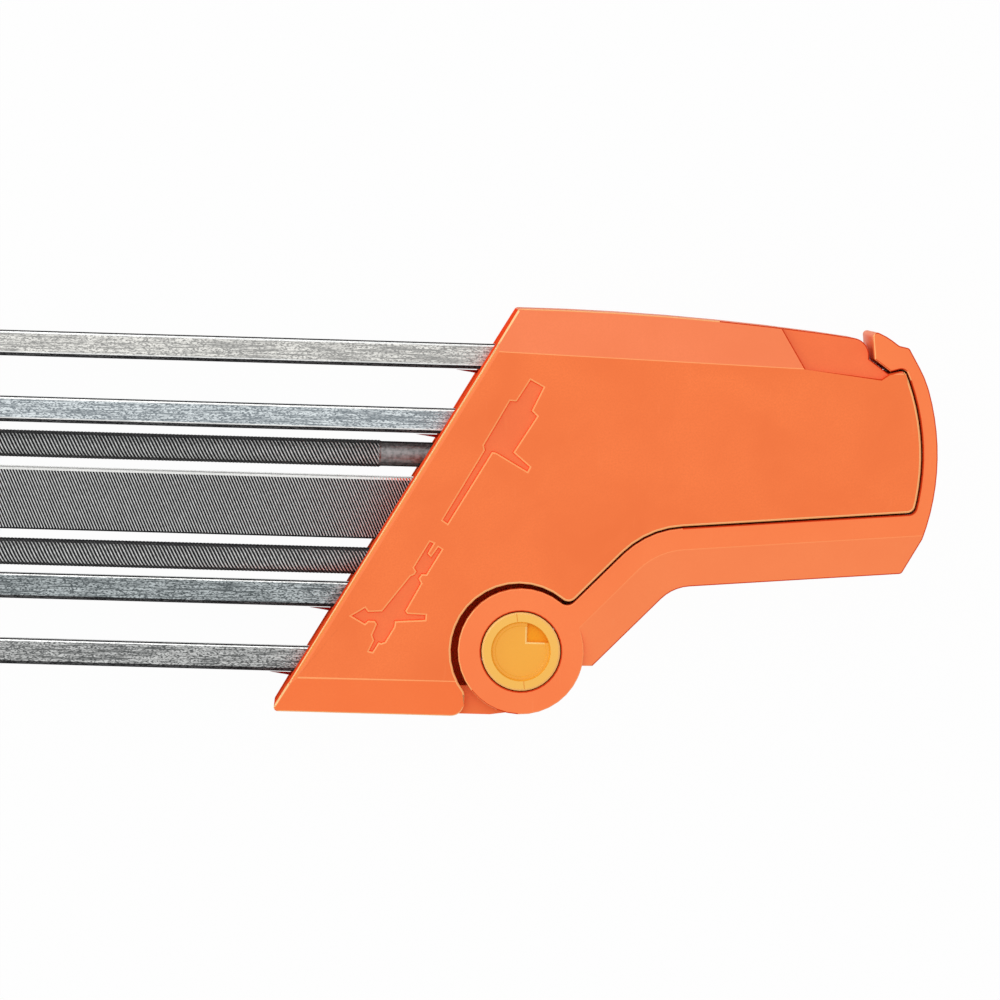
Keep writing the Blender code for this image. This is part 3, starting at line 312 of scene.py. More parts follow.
WELD = 0.002 * MM
FLAT_ANGLE = math.radians(0.3)
CREASE_ANGLE = math.radians(25.0)
SMOOTH_ANGLE = math.radians(13.0)
EDGE_WIDTH = 0.22 * MM
SEAM_WIDTH = 0.36 * MM
SLANT_WIDTH = 0.42 * MM
CREASE_WIDTH = 0.09 * MM
SHALLOW_CREASE = math.radians(6.0)
LEVEL_ENOUGH = 0.8
FACE_BAND = 3.4 * MM


def new_object(name, shape):
    """An object in the scene with the bmesh as its surface."""
    data = bpy.data.meshes.new(name)
    shape.to_mesh(data)
    shape.free()
    made = bpy.data.objects.new(name, data)
    bpy.context.scene.collection.objects.link(made)
    return made


def new_piece(name, shape, body, materials):
    """A piece of the object from a bmesh, shaded smooth between its creases."""
    piece = new_object(name, shape)
    for made in materials:
        piece.data.materials.append(made)
    piece.data.shade_smooth()
    piece.data.set_sharp_from_angle(angle=SMOOTH_ANGLE)
    weighted = piece.modifiers.new("even_normals", "WEIGHTED_NORMAL")
    weighted.keep_sharp = True
    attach(piece, body)
    return piece


def node_shape(node):
    """A node's surface with its corners welded and its flat faces whole."""
    shape = bmesh.new()
    shape.from_mesh(NODES[node].data)
    shape.transform(NODES[node].matrix_world)
    tidy(shape)
    return shape


def tidy(shape):
    """Welds the corners that meet, and makes each flat face whole."""
    bmesh.ops.remove_doubles(shape, verts=shape.verts, dist=WELD)
    bmesh.ops.dissolve_limit(
        shape, angle_limit=FLAT_ANGLE, verts=shape.verts, edges=shape.edges, delimit=set()
    )


def carved(shape, cutters):
    """The shape less its cutters, by Boolean modifiers on a passing object."""
    passing = new_object("carved", shape)
    for cutter in cutters:
        modifier = passing.modifiers.new(cutter.name, "BOOLEAN")
        modifier.object = cutter
        modifier.operation = "DIFFERENCE"
        modifier.solver = "EXACT"
    bpy.context.view_layer.update()
    depsgraph = bpy.context.evaluated_depsgraph_get()
    result = bmesh.new()
    result.from_mesh(passing.evaluated_get(depsgraph).to_mesh())
    for used in (passing, *cutters):
        bpy.data.objects.remove(used, do_unlink=True)
    tidy(result)
    return result


def outer_edges(shape):
    """The creases round the two outer faces, which the mould leaves slightly round."""
    low, high = (corner.z for corner in CAD_BOX)
    edges = []
    for edge in shape.edges:
        if not edge.is_convex or edge.calc_face_angle() < CREASE_ANGLE:
            continue
        heights = [vertex.co.z for vertex in edge.verts]
        near_face = min(heights) > high - FACE_BAND or max(heights) < low + FACE_BAND
        level = max(abs(face.normal.z) for face in edge.link_faces) > LEVEL_ENOUGH
        if near_face and level:
            edges.append(edge)
    return edges


def shallow_creases(shape):
    """The faint creases where a level face turns into a sloping one."""
    edges = []
    for edge in shape.edges:
        if edge.is_convex and SHALLOW_CREASE < edge.calc_face_angle() < CREASE_ANGLE:
            if min(abs(face.normal.z) for face in edge.link_faces) > LEVEL_ENOUGH:
                edges.append(edge)
    return edges


def bevel(shape, edges, width, finish, segments=2):
    """Rounds these edges, and gives the new faces their finish."""
    bmesh.ops.bevel(
        shape,
        geom=edges,
        offset=width,
        offset_type="OFFSET",
        segments=segments,
        profile=0.5,
        affect="EDGES",
        clamp_overlap=False,
        material=finish,
    )


def dress(node, body, cutters=()):
    """An orange moulding that stands for its node: the same form with rounded edges."""
    shape = node_shape(node)
    if cutters:
        shape = carved(shape, cutters)
    # The shallow creases get a painted highlight line, a fainter one on the lever.
    crease_highlight = FAINT_HIGHLIGHT if node == "clamp_lever" else MARK_HIGHLIGHT
    bevel(shape, shallow_creases(shape), CREASE_WIDTH, crease_highlight, 1)
    if node == "lever_head_front_shell":
        # The seam, the slant and the outer edges are rounded with painted highlight lines; finish_of
        # then sorts them into highlight and shade.
        seam = [edge for edge in outer_edges(shape) if at_seam(edge)]
        bevel(shape, seam, SEAM_WIDTH, HIGHLIGHT_LINE)
    slant = [edge for edge in outer_edges(shape) if at_slant(edge)]
    bevel(shape, slant, SLANT_WIDTH, HIGHLIGHT_LINE)
    bevel(shape, outer_edges(shape), EDGE_WIDTH, EDGE_HIGHLIGHT)
    for face in shape.faces:
        face.material_index = finish_of(face, node)
    piece = new_piece(node + "_moulding", shape, body, PLASTIC)
    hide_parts(node)


# Finishes of the orange mouldings, with painted highlights, sheen and shade

PLASTIC = [
    ORANGE,
    ORANGE_LEVER_TONE_AND_SHEEN,
    ORANGE_SLOPE_SHEEN,
    ORANGE_TOP_SHEEN,
    ORANGE_HEEL_LIT,
    ORANGE_EDGE_HIGHLIGHT,
    ORANGE_HIGHLIGHT_LINE,
    ORANGE_FAINT_HIGHLIGHT,
    ORANGE_MARK_HIGHLIGHT,
    ORANGE_PAINTED_SHADE,
    ORANGE_RECESS_SHADE,
    ORANGE_FOOT_SHADE,
    ORANGE_WARM_SHEEN,
    ORANGE_WALL_SHADE,
    ORANGE_DEEP_SHADE,
]
(
    PLAIN, LEVER_TONE_AND_SHEEN, SLOPE_SHEEN, TOP_SHEEN, HEEL_LIT, EDGE_HIGHLIGHT, HIGHLIGHT_LINE, FAINT_HIGHLIGHT,
    MARK_HIGHLIGHT, PAINTED_SHADE, RECESS_SHADE, FOOT_SHADE, WARM_SHEEN, WALL_SHADE, DEEP_SHADE,
) = range(len(PLASTIC))
PIVOT = Vector((99.8, -26.2)) * MM
HOLE_REACH = 9.0 * MM
RING_REACH = 13.0 * MM
HOOK_FOOT = 28.0 * MM
MARK_CORNER = Vector((103.5, 27.5)) * MM
MARK_CLEAR = 16.5 * MM
SEAM_START = 84.0 * MM
SEAM_TURN = 137.0 * MM
SEAM_END = 171.0 * MM
TOP_BAND = 20.0 * MM
RIM_BAND = 3.0 * MM
WINDOW_LENGTH = 150.0 * MM
SLANT_ANGLE = math.radians(30.0)
SLANT_NORMAL = Vector((math.cos(SLANT_ANGLE), -math.sin(SLANT_ANGLE), 0))
SLANT_REACH = WINDOW_LENGTH / 2 * SLANT_NORMAL.x
SLANT_CHAMFER = 1.1 * MM
SHALLOW_WALL = 1.9 * MM
GAP_FLOOR = (14.5 * MM, 15.5 * MM)
PARTING = (11.0 * MM, 11.45 * MM)
PLACE_SLACK = 0.05 * MM
MARK_DEPTH = 0.5 * MM
FLOOR_LEVEL = 0.9995
SLOPE_LEVEL = 0.9
WALL_LEVEL = 0.85
UPRIGHT = 0.5
LEANS = 0.2
LEANS_WELL = 0.3
FACES_SLANT = 0.9
NEARS_SLANT = 0.5
WARM_FACING = (0.3, 0.6)


def at_slant(edge):
    """Whether an edge lies where the slanted wall meets its chamfer."""
    reaches = [abs(vertex.co.dot(SLANT_NORMAL)) for vertex in edge.verts]
    return all(abs(reach - SLANT_REACH) < PLACE_SLACK for reach in reaches)


def rise_of(face):
    """How far a face rises from its lowest corner to its highest."""
    heights = [vertex.co.z for vertex in face.verts]
    return max(heights) - min(heights)


def at_seam(edge):
    """Whether an edge of the lever head's front shell runs along the lever."""
    middle = (edge.verts[0].co + edge.verts[1].co) / 2
    along_top = middle.y > TOP_BAND and middle.x < SEAM_END
    along_foot = middle.y < CAD_BOX[0].y + RIM_BAND
    if along_top or along_foot:
        return False
    walls = [face for face in edge.link_faces if abs(face.normal.z) < UPRIGHT]
    return middle.x > SEAM_START and any(rise_of(face) > SHALLOW_WALL for face in walls)


def lever_edge(place, out):
    """Which finish a rounded edge of the lever has, by its place and which way it faces: a painted
    highlight, bright or faint, or painted shade by the pin's hole and where it faces away from the
    light.
    """
    from_pin = (place.to_2d() - PIVOT).length
    if from_pin < HOLE_REACH:
        return PAINTED_SHADE
    if from_pin < RING_REACH and out.x > 0:
        return FAINT_HIGHLIGHT
    if out.x < -LEANS_WELL and (place.x < PIVOT.x or place.y > HOOK_FOOT):
        return EDGE_HIGHLIGHT
    if out.y < -LEANS or out.x > LEANS or place.y > HOOK_FOOT or place.x > SEAM_TURN:
        return PAINTED_SHADE
    return FAINT_HIGHLIGHT


def head_edge(place, out):
    """Which finish a rounded edge of a head has: dark where it faces away from the light."""
    inside = place.x < MARK_CORNER.x and abs(place.y) < MARK_CORNER.y
    off_pin = (place.to_2d() - PIVOT).length > MARK_CLEAR
    off_slant = place.dot(SLANT_NORMAL) > SLANT_REACH + 2 * SLANT_CHAMFER
    if inside and off_pin and off_slant:
        return MARK_HIGHLIGHT
    if SEAM_TURN < place.x < SEAM_END and place.y > TOP_BAND:
        return PAINTED_SHADE
    if place.y < CAD_BOX[0].y + RIM_BAND and out.y < -LEANS and place.x > PIVOT.x:
        return PAINTED_SHADE
    return EDGE_HIGHLIGHT


def finish_of(face, node):
    """Which finish a face has. The slanted walls, the sides of shallow recesses and the lips
    under the rails get painted shade; the rounded edges get painted highlights, and facets painted
    sheen."""
    low, high = (corner.z for corner in CAD_BOX)
    place = face.calc_center_median()
    reach = abs(place.dot(SLANT_NORMAL))
    facing = abs(face.normal.dot(SLANT_NORMAL))
    level = abs(face.normal.z)
    # Painted shade: deep red on the lips under the rails, red on the slanted walls.
    if reach < SLANT_REACH - PLACE_SLACK:
        return DEEP_SHADE
    if reach < SLANT_REACH + PLACE_SLACK and facing > FACES_SLANT:
        return WALL_SHADE
    if face.material_index == EDGE_HIGHLIGHT:
        if node == "clamp_lever":
            return lever_edge(place, face.normal)
        # Painted highlights on the chamfer by the slanted wall: a light line at the wall, softer
        # further in.
        if reach < SLANT_REACH + SLANT_CHAMFER / 3 and facing > NEARS_SLANT:
            return HIGHLIGHT_LINE
        if SLANT_REACH + SLANT_CHAMFER / 3 < reach < SLANT_REACH + SLANT_CHAMFER:
            return LEVER_TONE_AND_SHEEN
        return head_edge(place, face.normal)
    if face.material_index in (HIGHLIGHT_LINE, FAINT_HIGHLIGHT, MARK_HIGHLIGHT):
        return face.material_index
    if face.normal.z > LEVEL_ENOUGH:
        # Painted shade on the ring gap's floor, the back shell's parting faces, and the recess and
        # pictogram floors.
        if node == "lever_head_front_shell" and GAP_FLOOR[0] < place.z < GAP_FLOOR[1]:
            return PAINTED_SHADE
        if node == "lever_head_back_shell" and PARTING[0] < place.z < PARTING[1]:
            return FOOT_SHADE
        if node == "lever_head_front_shell" and place.z < high - MARK_DEPTH / 2:
            mark_floor = level > FLOOR_LEVEL and place.z > high - 2 * MARK_DEPTH
            if mark_floor or place.x > SEAM_TURN:
                return RECESS_SHADE
    # Painted sheen on chamfer faces that turn part way towards the slant.
    on_chamfer = reach < SLANT_REACH + SLANT_CHAMFER and level > LEVEL_ENOUGH
    if on_chamfer and WARM_FACING[0] < facing < WARM_FACING[1]:
        return WARM_SHEEN
    # Painted shade on the sides of shallow recesses and pictograms.
    heights = [vertex.co.z for vertex in face.verts]
    shallow = min(heights) > high - SHALLOW_WALL or max(heights) < low + SHALLOW_WALL
    if level < WALL_LEVEL and shallow:
        return WALL_SHADE
    # Painted sheen on sloping facets; the lever's level faces get the lever's lighter tone.
    sloping = SLOPE_LEVEL < level < FLOOR_LEVEL
    if node == "clamp_lever":
        return SLOPE_SHEEN if sloping else LEVER_TONE_AND_SHEEN
    if sloping:
        return TOP_SHEEN if face.normal.y > 0 else HEEL_LIT
    return PLAIN


# Debossed pictograms on the front face

MARK_DRAFT = 0.2 * MM
MARK_RISE = 0.3 * MM
CLAMP_MARK = (
    (100.15, 25.35),
    (102.4, 24.15),
    (100.3, 19.65),
    (101.35, 18.65),
    (97.05, 11.65),
    (100.25, 8.95),
    (99.95, 8.35),
    (94.0, 11.7),
    (93.1, 11.8),
    (85.1, -1.95),
    (84.4, -1.5),
    (92.0, 11.95),
    (91.75, 12.85),
    (96.4, 21.3),
    (97.65, 21.25),
)
FILE_MARK = (
    (81.95, -5.95),
    (82.35, -6.1),
    (81.3, -8.0),
    (82.2, -8.95),
    (83.55, -6.95),
    (83.95, -7.2),
    (81.3, -11.8),
    (80.4, -11.8),
    (79.75, -12.8),
    (80.25, -13.7),
    (77.4, -19.05),
    (77.9, -19.75),
    (81.3, -19.85),
    (81.25, -20.5),
    (75.55, -20.9),
    (75.4, -22.1),
    (73.8, -24.9),
    (73.2, -25.15),
    (72.6, -25.0),
    (71.5, -26.85),
    (71.1, -26.75),
    (72.0, -24.8),
    (71.6, -23.8),
    (72.45, -21.7),
    (71.95, -20.95),
    (70.5, -20.95),
    (69.95, -21.5),
    (67.7, -20.25),
    (69.9, -18.9),
    (70.45, -19.6),
    (73.25, -19.4),
    (78.5, -12.55),
    (79.2, -12.25),
    (79.7, -11.5),
    (79.2, -10.75),
)


def widened(outline, distance):
    """The outline with each side moved outwards; its points run clockwise."""
    moved = []
    for i, corner in enumerate(outline):
        before = (corner - outline[i - 1]).normalized()
        after = (outline[(i + 1) % len(outline)] - corner).normalized()
        out_before = Vector((-before.y, before.x))
        out_after = Vector((-after.y, after.x))
        half_way = out_before + out_after
        moved.append(corner + half_way * 2 * distance / half_way.length_squared)
    return moved


def mark_cutter(name, points, face_height):
    """A cutter with sloping sides: wider at the face than at its floor."""
    outline = [Vector(point) * MM for point in points]
    slope = MARK_DRAFT / MARK_DEPTH
    rows = []
    for height in (-MARK_DEPTH, MARK_RISE):
        plan = widened(outline, (MARK_DEPTH + height) * slope)
        rows.append([(*point, face_height + height) for point in plan])
    shape = bmesh.new()
    low, high = [[shape.verts.new(place) for place in row] for row in rows]
    count = len(outline)
    for i in range(count):
        after = (i + 1) % count
        shape.faces.new((low[i], low[after], high[after], high[i]))
    shape.faces.new(low)
    shape.faces.new(high)
    bmesh.ops.recalc_face_normals(shape, faces=shape.faces)
    return new_object(name, shape)


# The pin's rim

PIN_PLASTIC = [YELLOW, YELLOW_EDGE, YELLOW_FLOOR_SHADE, YELLOW_HIGHLIGHT_LINE]
PIN_RIM, PIN_FLOOR_SHADE, PIN_HIGHLIGHT_LINE = range(1, len(PIN_PLASTIC))
TICK_WIDTH = 0.16 * MM
TICK_DEPTH = 0.12 * MM
TICK_ANGLES = (math.radians(98.0), math.radians(-83.0))
RIM_SHARE = 0.75
RIM_EDGE_SHARE = 0.92
RIM_EDGE_LEVEL = 0.9
MARK_FLOOR_DROP = 1.2 * MM
MARK_EDGE_LENGTH = 2.0 * MM
MARK_EDGE_WIDTH = 0.34 * MM


def rim_ticks():
    """Two fine grooves across the rim of the pin's head."""
    low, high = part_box("pivot_pin")
    radius = (high.x - low.x) / 2
    ticks = []
    for i, angle in enumerate(TICK_ANGLES):
        out = Vector((math.cos(angle), math.sin(angle), 0))
        shape = bmesh.new()
        bmesh.ops.create_cube(shape, size=1.0)
        bmesh.ops.scale(shape, vec=(radius / 2, TICK_WIDTH, 2 * TICK_DEPTH), verts=shape.verts)
        bmesh.ops.rotate(shape, matrix=Matrix.Rotation(angle, 3, "Z"), verts=shape.verts)
        middle = (low + high) / 2
        place = Vector((middle.x, middle.y, high.z)) + out * radius
        bmesh.ops.translate(shape, vec=place, verts=shape.verts)
        ticks.append(new_object(f"tick_{i}", shape))
    return ticks


def dress_pin(node, cutters=()):
    """The pin or its cap: a lighter rim, painted highlights on its outer edge and along
    the quarter mark, and painted shade on the mark's floor.
    """
    low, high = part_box(node)
    middle = (low + high) / 2
    radius = (high.x - low.x) / 2
    shape = node_shape(node)
    if cutters:
        shape = carved(shape, cutters)
    # A painted highlight on the rim's outer edge, a lighter rim, and painted shade on the quarter
    # mark's floor.
    for face in shape.faces:
        reach = min((vertex.co - middle).to_2d().length for vertex in face.verts)
        heights = [vertex.co.z for vertex in face.verts]
        outer = max(abs(z - middle.z) for z in heights) > high.z - middle.z - TICK_DEPTH
        level = abs(face.normal.z)
        if UPRIGHT < level < RIM_EDGE_LEVEL and outer and reach > RIM_EDGE_SHARE * radius:
            face.material_index = PIN_HIGHLIGHT_LINE
        elif level > UPRIGHT and outer and reach > RIM_SHARE * radius:
            face.material_index = PIN_RIM
        elif max(heights) < high.z - MARK_FLOOR_DROP and face.normal.z > UPRIGHT:
            face.material_index = PIN_FLOOR_SHADE
    # Painted highlight lines along the quarter mark's edges.
    mark_edges = []
    for edge in shape.edges:
        flat = abs(edge.verts[0].co.z - edge.verts[1].co.z) < WELD
        reach = max((vertex.co - middle).to_2d().length for vertex in edge.verts)
        inside = reach < RIM_SHARE * radius
        if flat and inside and edge.is_convex and edge.calc_length() > MARK_EDGE_LENGTH:
            if edge.calc_face_angle() > CREASE_ANGLE:
                mark_edges.append(edge)
    bevel(shape, mark_edges, MARK_EDGE_WIDTH, PIN_HIGHLIGHT_LINE)
    piece = new_piece(node + "_moulding", shape, "frame", PIN_PLASTIC)
    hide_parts(node)


# Rails

# Each rail: its node, its steel, and the widths of its painted highlight bands near the top edge and
# near the low edge.
RAILS = (
    ("outer_rail_top", RAIL_LIT_WARM, 0.34 * MM, 0.22 * MM),
    ("inner_rail_top", RAIL_LIT_COOL, 0.3 * MM, 0.22 * MM),
    ("inner_rail_bottom", RAIL_SHADED_COOL, 0.2 * MM, 0.0),
    ("outer_rail_bottom", RAIL_SHADED_GREY, 0.22 * MM, 0.0),
)
RAIL_LOW_SHADE = 0.66 * MM
RAIL_TOP_SHADE = 0.24 * MM
RAIL_SIDE = 0.99
RAIL_HIGHLIGHT_BAND, RAIL_EDGE_SHADE = 1, 2


def dress_rail(node, steel, top_band, low_band):
    """A drawn rail: streaked faces, painted highlight bands along them, and painted shade along the
    edges.
    """
    low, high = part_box(node)
    shape = node_shape(node)
    low_level, top_level = low.y + RAIL_LOW_SHADE, high.y - RAIL_TOP_SHADE
    for level in (low_level, low_level + low_band, top_level - top_band, top_level):
        geometry = [*shape.verts, *shape.edges, *shape.faces]
        bmesh.ops.bisect_plane(shape, geom=geometry, plane_co=(0, level, 0), plane_no=(0, 1, 0))
    # Painted shade along both edges and painted highlight bands just inside them; the side walls keep
    # the plain steel.
    for face in shape.faces:
        place = face.calc_center_median()
        if abs(face.normal.y) > RAIL_SIDE:
            continue
        if not low_level < place.y < top_level:
            face.material_index = RAIL_EDGE_SHADE
        elif not low_level + low_band < place.y < top_level - top_band:
            face.material_index = RAIL_HIGHLIGHT_BAND
    piece = new_piece(node + "_bar", shape, "frame", [steel, RAIL_HIGHLIGHT, RAIL_SHADE])
    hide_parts(node)


# Files

TOOTH_SHARES = (1.0, 0.7, 0.0)
TOOTH_SAMPLES = len(TOOTH_SHARES)
FILE_STEELS = [FILE, TOOTH_LAND_HIGHLIGHT, TOOTH_ROOT_SHADE, FILE_HIGHLIGHT]
ROUND_STEELS = [FILE, ROUND_LAND_HIGHLIGHT, TOOTH_ROOT_SHADE, FILE_HALF_SHADE, FILE_SHADE]
PLAIN_STEEL, LAND_HIGHLIGHT, ROOT_SHADE, TOP_EDGE_HIGHLIGHT = range(len(FILE_STEELS))
HALF_SHADE, SHADE = range(ROOT_SHADE + 1, len(ROUND_STEELS))
DIM_SHARE = 0.7
BLACK_SHARE = 0.88
ROUND_PITCH = 0.68 * MM
ROUND_TOOTH = 0.16 * MM
ROUND_STARTS = 12
ROUND_SIDES = 26
ROUND_STOP = 71.9 * MM
SHANK_RADIUS = 2.4 * MM
SHANK_STEP = 0.35 * MM
FLAT_PITCH = 0.568 * MM
FLAT_TOOTH = 0.15 * MM
FLAT_LEAN = -0.455
FLAT_MARGIN = 0.65 * MM
FLAT_LOW_MARGIN = 0.32 * MM
FLAT_BEVEL = 0.22 * MM


def toothed_bar(section, pitch, turns, start, end):
    """A bar along X with rows of teeth. Each section point is (y, z), its outward direction,
    its tooth depth and how far it shifts the rows, and the rows join up again after the turns."""
    step = pitch / TOOTH_SAMPLES
    shifts = [point[3] for point in section]
    wrap = turns * TOOTH_SAMPLES
    first = start - max(shifts) - (wrap + TOOTH_SAMPLES) * step
    rows = math.ceil((end - first - min(shifts)) / step) + wrap + 2 * TOOTH_SAMPLES
    shape = bmesh.new()
    grid = []
    for row in range(rows):
        share = 1.0 - TOOTH_SHARES[row % TOOTH_SAMPLES]
        ring = []
        for (y, z), (out_y, out_z), depth, shift in section:
            inward = -share * depth
            place = (first + row * step + shift, y + out_y * inward, z + out_z * inward)
            ring.append(shape.verts.new(place))
        grid.append(ring)
    count = len(section)
    for row in range(rows - 1):
        for i in range(count):
            after = (i + 1) % count
            back = wrap if after == 0 else 0
            if row < back:
                continue
            far_a, far_b = grid[row - back][after], grid[row - back + 1][after]
            face = shape.faces.new((grid[row][i], far_a, far_b, grid[row + 1][i]))
            # The lands of the teeth get a painted highlight, the rest of each tooth painted shade.
            face.material_index = LAND_HIGHLIGHT if row % TOOTH_SAMPLES == 0 else ROOT_SHADE
    for place, keep in ((start, 1), (end, -1)):
        clipped = bmesh.ops.bisect_plane(
            shape,
            geom=[*shape.verts, *shape.edges, *shape.faces],
            plane_co=(place, 0, 0),
            plane_no=(keep, 0, 0),
            clear_inner=True,
        )
        rim = [item for item in clipped["geom_cut"] if isinstance(item, bmesh.types.BMEdge)]
        bmesh.ops.edgeloop_fill(shape, edges=rim)
    bmesh.ops.recalc_face_normals(shape, faces=shape.faces)
    return shape


def paint_side_shade(shape, middle, radius, finish):
    """Paints shade on the faces of this finish near the two sides of a round file: half shade, then
    full shade at the very sides.
    """
    for face in shape.faces:
        aside = abs(face.calc_center_median().y - middle) / radius
        if face.material_index == finish and aside > DIM_SHARE:
            face.material_index = SHADE if aside > BLACK_SHARE else HALF_SHADE


def make_round_file(node, turn):
    """A round file: spiral teeth as far as a stop near the slanted face, then a plain shank."""
    low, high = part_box(node)
    centre = (low + high) / 2
    radius = (high.y - low.y) / 2
    section = []
    for i in range(ROUND_SIDES):
        angle = -math.tau * i / ROUND_SIDES
        out = (math.cos(angle), math.sin(angle))
        place = (centre.y + radius * out[0], centre.z + radius * out[1])
        section.append((place, out, ROUND_TOOTH, -ROUND_STARTS * ROUND_PITCH * i / ROUND_SIDES))
    ends = sorted((turn * ROUND_STOP, -turn * high.x))
    shape = toothed_bar(section, ROUND_PITCH, ROUND_STARTS, *ends)
    paint_side_shade(shape, centre.y, radius, LAND_HIGHLIGHT)
    teeth = new_piece(node + "_teeth", shape, "frame", ROUND_STEELS)
    profile = [
        (ROUND_STOP - SHANK_STEP, radius - ROUND_TOOTH),
        (ROUND_STOP, radius - ROUND_TOOTH / 2),
        (ROUND_STOP + SHANK_STEP, SHANK_RADIUS),
        (high.x - SHANK_STEP, SHANK_RADIUS),
        (high.x, SHANK_RADIUS - SHANK_STEP),
    ]
    shank_shape = bmesh.new()
    rings = []
    for reach, ring_radius in profile:
        ring = []
        for i in range(2 * ROUND_SIDES):
            angle = turn * math.pi * i / ROUND_SIDES
            y = centre.y + ring_radius * math.cos(angle)
            z = centre.z + ring_radius * math.sin(angle)
            ring.append(shank_shape.verts.new((turn * reach, y, z)))
        rings.append(ring)
    for near, far in zip(rings, rings[1:]):
        for i in range(len(near)):
            after = (i + 1) % len(near)
            shank_shape.faces.new((near[i], near[after], far[after], far[i]))
    shank_shape.faces.new(rings[0])
    shank_shape.faces.new(rings[-1])
    bmesh.ops.recalc_face_normals(shank_shape, faces=shank_shape.faces)
    paint_side_shade(shank_shape, centre.y, SHANK_RADIUS, PLAIN_STEEL)
    shank = new_piece(node + "_shank", shank_shape, "frame", ROUND_STEELS)
    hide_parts(node)
    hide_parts(node)


def make_flat_file():
    """The flat file: slanting teeth on both faces, up to a smooth edge at the top with a painted
    highlight, and painted shade on the lower margin.
    """
    low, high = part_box("flat_file")
    centre = (low + high) / 2
    half_width = (high.y - low.y) / 2
    half = (high.z - low.z) / 2
    toothed = half_width - FLAT_MARGIN
    toothed_low = half_width - FLAT_LOW_MARGIN
    side = half - FLAT_BEVEL
    plan = (
        (-toothed_low, half, FLAT_TOOTH),
        (toothed, half, FLAT_TOOTH),
        (half_width - FLAT_BEVEL, half, 0),
        (half_width, side, 0),
        (half_width, -side, 0),
        (half_width - FLAT_BEVEL, -half, 0),
        (toothed, -half, FLAT_TOOTH),
        (-toothed_low, -half, FLAT_TOOTH),
        (FLAT_BEVEL - half_width, -half, 0),
        (-half_width, -side, 0),
        (-half_width, side, 0),
        (FLAT_BEVEL - half_width, half, 0),
    )
    section = []
    for y, z, depth in plan:
        out = (0, 1 if z > 0 else -1)
        section.append(((centre.y + y, centre.z + z), out, depth, FLAT_LEAN * y))
    shape = toothed_bar(section, FLAT_PITCH, 0, low.x, high.x)
    # A painted highlight on the top edge, painted shade on the lower margin.
    for face in shape.faces:
        rise = face.calc_center_median().y - centre.y
        if rise > toothed:
            face.material_index = TOP_EDGE_HIGHLIGHT
        elif rise < -toothed_low:
            face.material_index = ROOT_SHADE
    piece = new_piece("flat_file_teeth", shape, "frame", FILE_STEELS)
    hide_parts("flat_file")


FRONT = CAD_BOX[1].z
MARKS = [
    mark_cutter("clamp_mark", CLAMP_MARK, FRONT),
    mark_cutter("file_mark", FILE_MARK, FRONT),
]
dress("lever_head_front_shell", "frame", MARKS)
for shell in ("lever_head_back_shell", "fixed_head_front_shell", "fixed_head_back_shell"):
    dress(shell, "frame")
dress("clamp_lever", "lever")
dress_pin("pivot_pin", rim_ticks())
dress_pin("pivot_cap")
for rail in RAILS:
    dress_rail(*rail)
make_round_file("round_file_top", 1)
make_round_file("round_file_bottom", -1)
make_flat_file()


# Stage

FLOOR_SIZE = 6.0
FLOOR_DROP = 0.3 * MM
FLOOR_GREY = (0.6, 0.6, 0.6, 1.0)
FLOOR_GLOW = 1.0
FLOOR_GLOW_SHARE = 0.975
SKY = ((0.0, 0.3), (0.4, 1.0))
SKY_STRENGTH = 0.93
LAMPS = (
    ("key", (-0.4, 0.6, 1.5), (0.1, 0, 0), 0.9, 3.0),
    ("fill", (-0.55, 0.42, 0.13), (0.08, 0, 0.01), 0.3, 1.3),
)


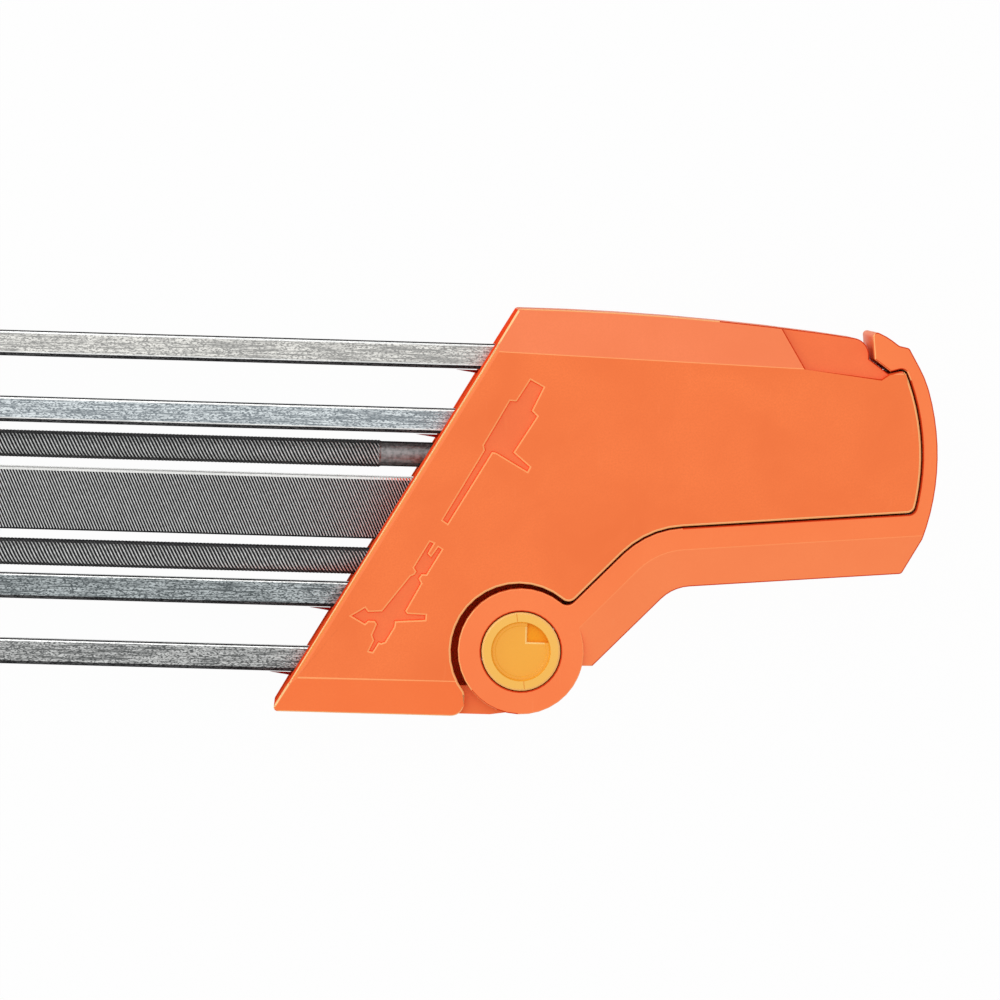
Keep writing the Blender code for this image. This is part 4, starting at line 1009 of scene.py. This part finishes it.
def make_floor():
    """A pale floor that shows white to the camera and keeps a little of the shadow."""
    shape = bmesh.new()
    bmesh.ops.create_grid(shape, x_segments=1, y_segments=1, size=FLOOR_SIZE / 2)
    floor = new_object("floor", shape)
    floor.location.z = -FLOOR_DROP
    made = bpy.data.materials.new("floor")
    made.use_nodes = True
    tree = made.node_tree
    tree.nodes.clear()
    output = tree.nodes.new("ShaderNodeOutputMaterial")
    mix = tree.nodes.new("ShaderNodeMixShader")
    diffuse = tree.nodes.new("ShaderNodeBsdfDiffuse")
    diffuse.inputs["Color"].default_value = FLOOR_GREY
    glow = tree.nodes.new("ShaderNodeEmission")
    glow.inputs["Strength"].default_value = FLOOR_GLOW
    path = tree.nodes.new("ShaderNodeLightPath")
    seen = tree.nodes.new("ShaderNodeMath")
    seen.operation = "MAXIMUM"
    seen_more = tree.nodes.new("ShaderNodeMath")
    seen_more.operation = "MAXIMUM"
    share = tree.nodes.new("ShaderNodeMath")
    share.operation = "MULTIPLY"
    share.inputs[1].default_value = FLOOR_GLOW_SHARE
    tree.links.new(path.outputs["Is Camera Ray"], seen.inputs[0])
    tree.links.new(path.outputs["Is Glossy Ray"], seen.inputs[1])
    tree.links.new(seen.outputs[0], seen_more.inputs[0])
    tree.links.new(path.outputs["Is Transmission Ray"], seen_more.inputs[1])
    tree.links.new(seen_more.outputs[0], share.inputs[0])
    tree.links.new(share.outputs[0], mix.inputs[0])
    tree.links.new(diffuse.outputs[0], mix.inputs[1])
    tree.links.new(glow.outputs[0], mix.inputs[2])
    tree.links.new(mix.outputs[0], output.inputs["Surface"])
    floor.data.materials.append(made)


def make_world(strength):
    """A wide pale sky, bright overhead and dimmer towards the horizon."""
    world = bpy.data.worlds.new("studio")
    bpy.context.scene.world = world
    world.use_nodes = True
    tree = world.node_tree
    background = tree.nodes["Background"]
    background.inputs["Strength"].default_value = strength
    coordinates = tree.nodes.new("ShaderNodeTexCoord")
    split = tree.nodes.new("ShaderNodeSeparateXYZ")
    ramp = tree.nodes.new("ShaderNodeValToRGB")
    for element, (height, grey) in zip(ramp.color_ramp.elements, SKY):
        element.position = height
        element.color = (grey, grey, grey, 1.0)
    tree.links.new(coordinates.outputs["Generated"], split.inputs["Vector"])
    tree.links.new(split.outputs["Z"], ramp.inputs["Fac"])
    tree.links.new(ramp.outputs["Color"], background.inputs["Color"])


def make_lamp(name, place, target, size, power):
    """A square soft box that faces its target."""
    data = bpy.data.lights.new(name, "AREA")
    data.shape = "SQUARE"
    data.size = size
    data.energy = power
    lamp = bpy.data.objects.new(name, data)
    bpy.context.scene.collection.objects.link(lamp)
    lamp.location = place
    lamp.rotation_euler = (Vector(target) - Vector(place)).to_track_quat("-Z", "Y").to_euler()


make_camera()
make_floor()
make_world(SKY_STRENGTH)
for lamp in LAMPS:
    make_lamp(*lamp)
bpy.context.scene.view_settings.view_transform = "Standard"
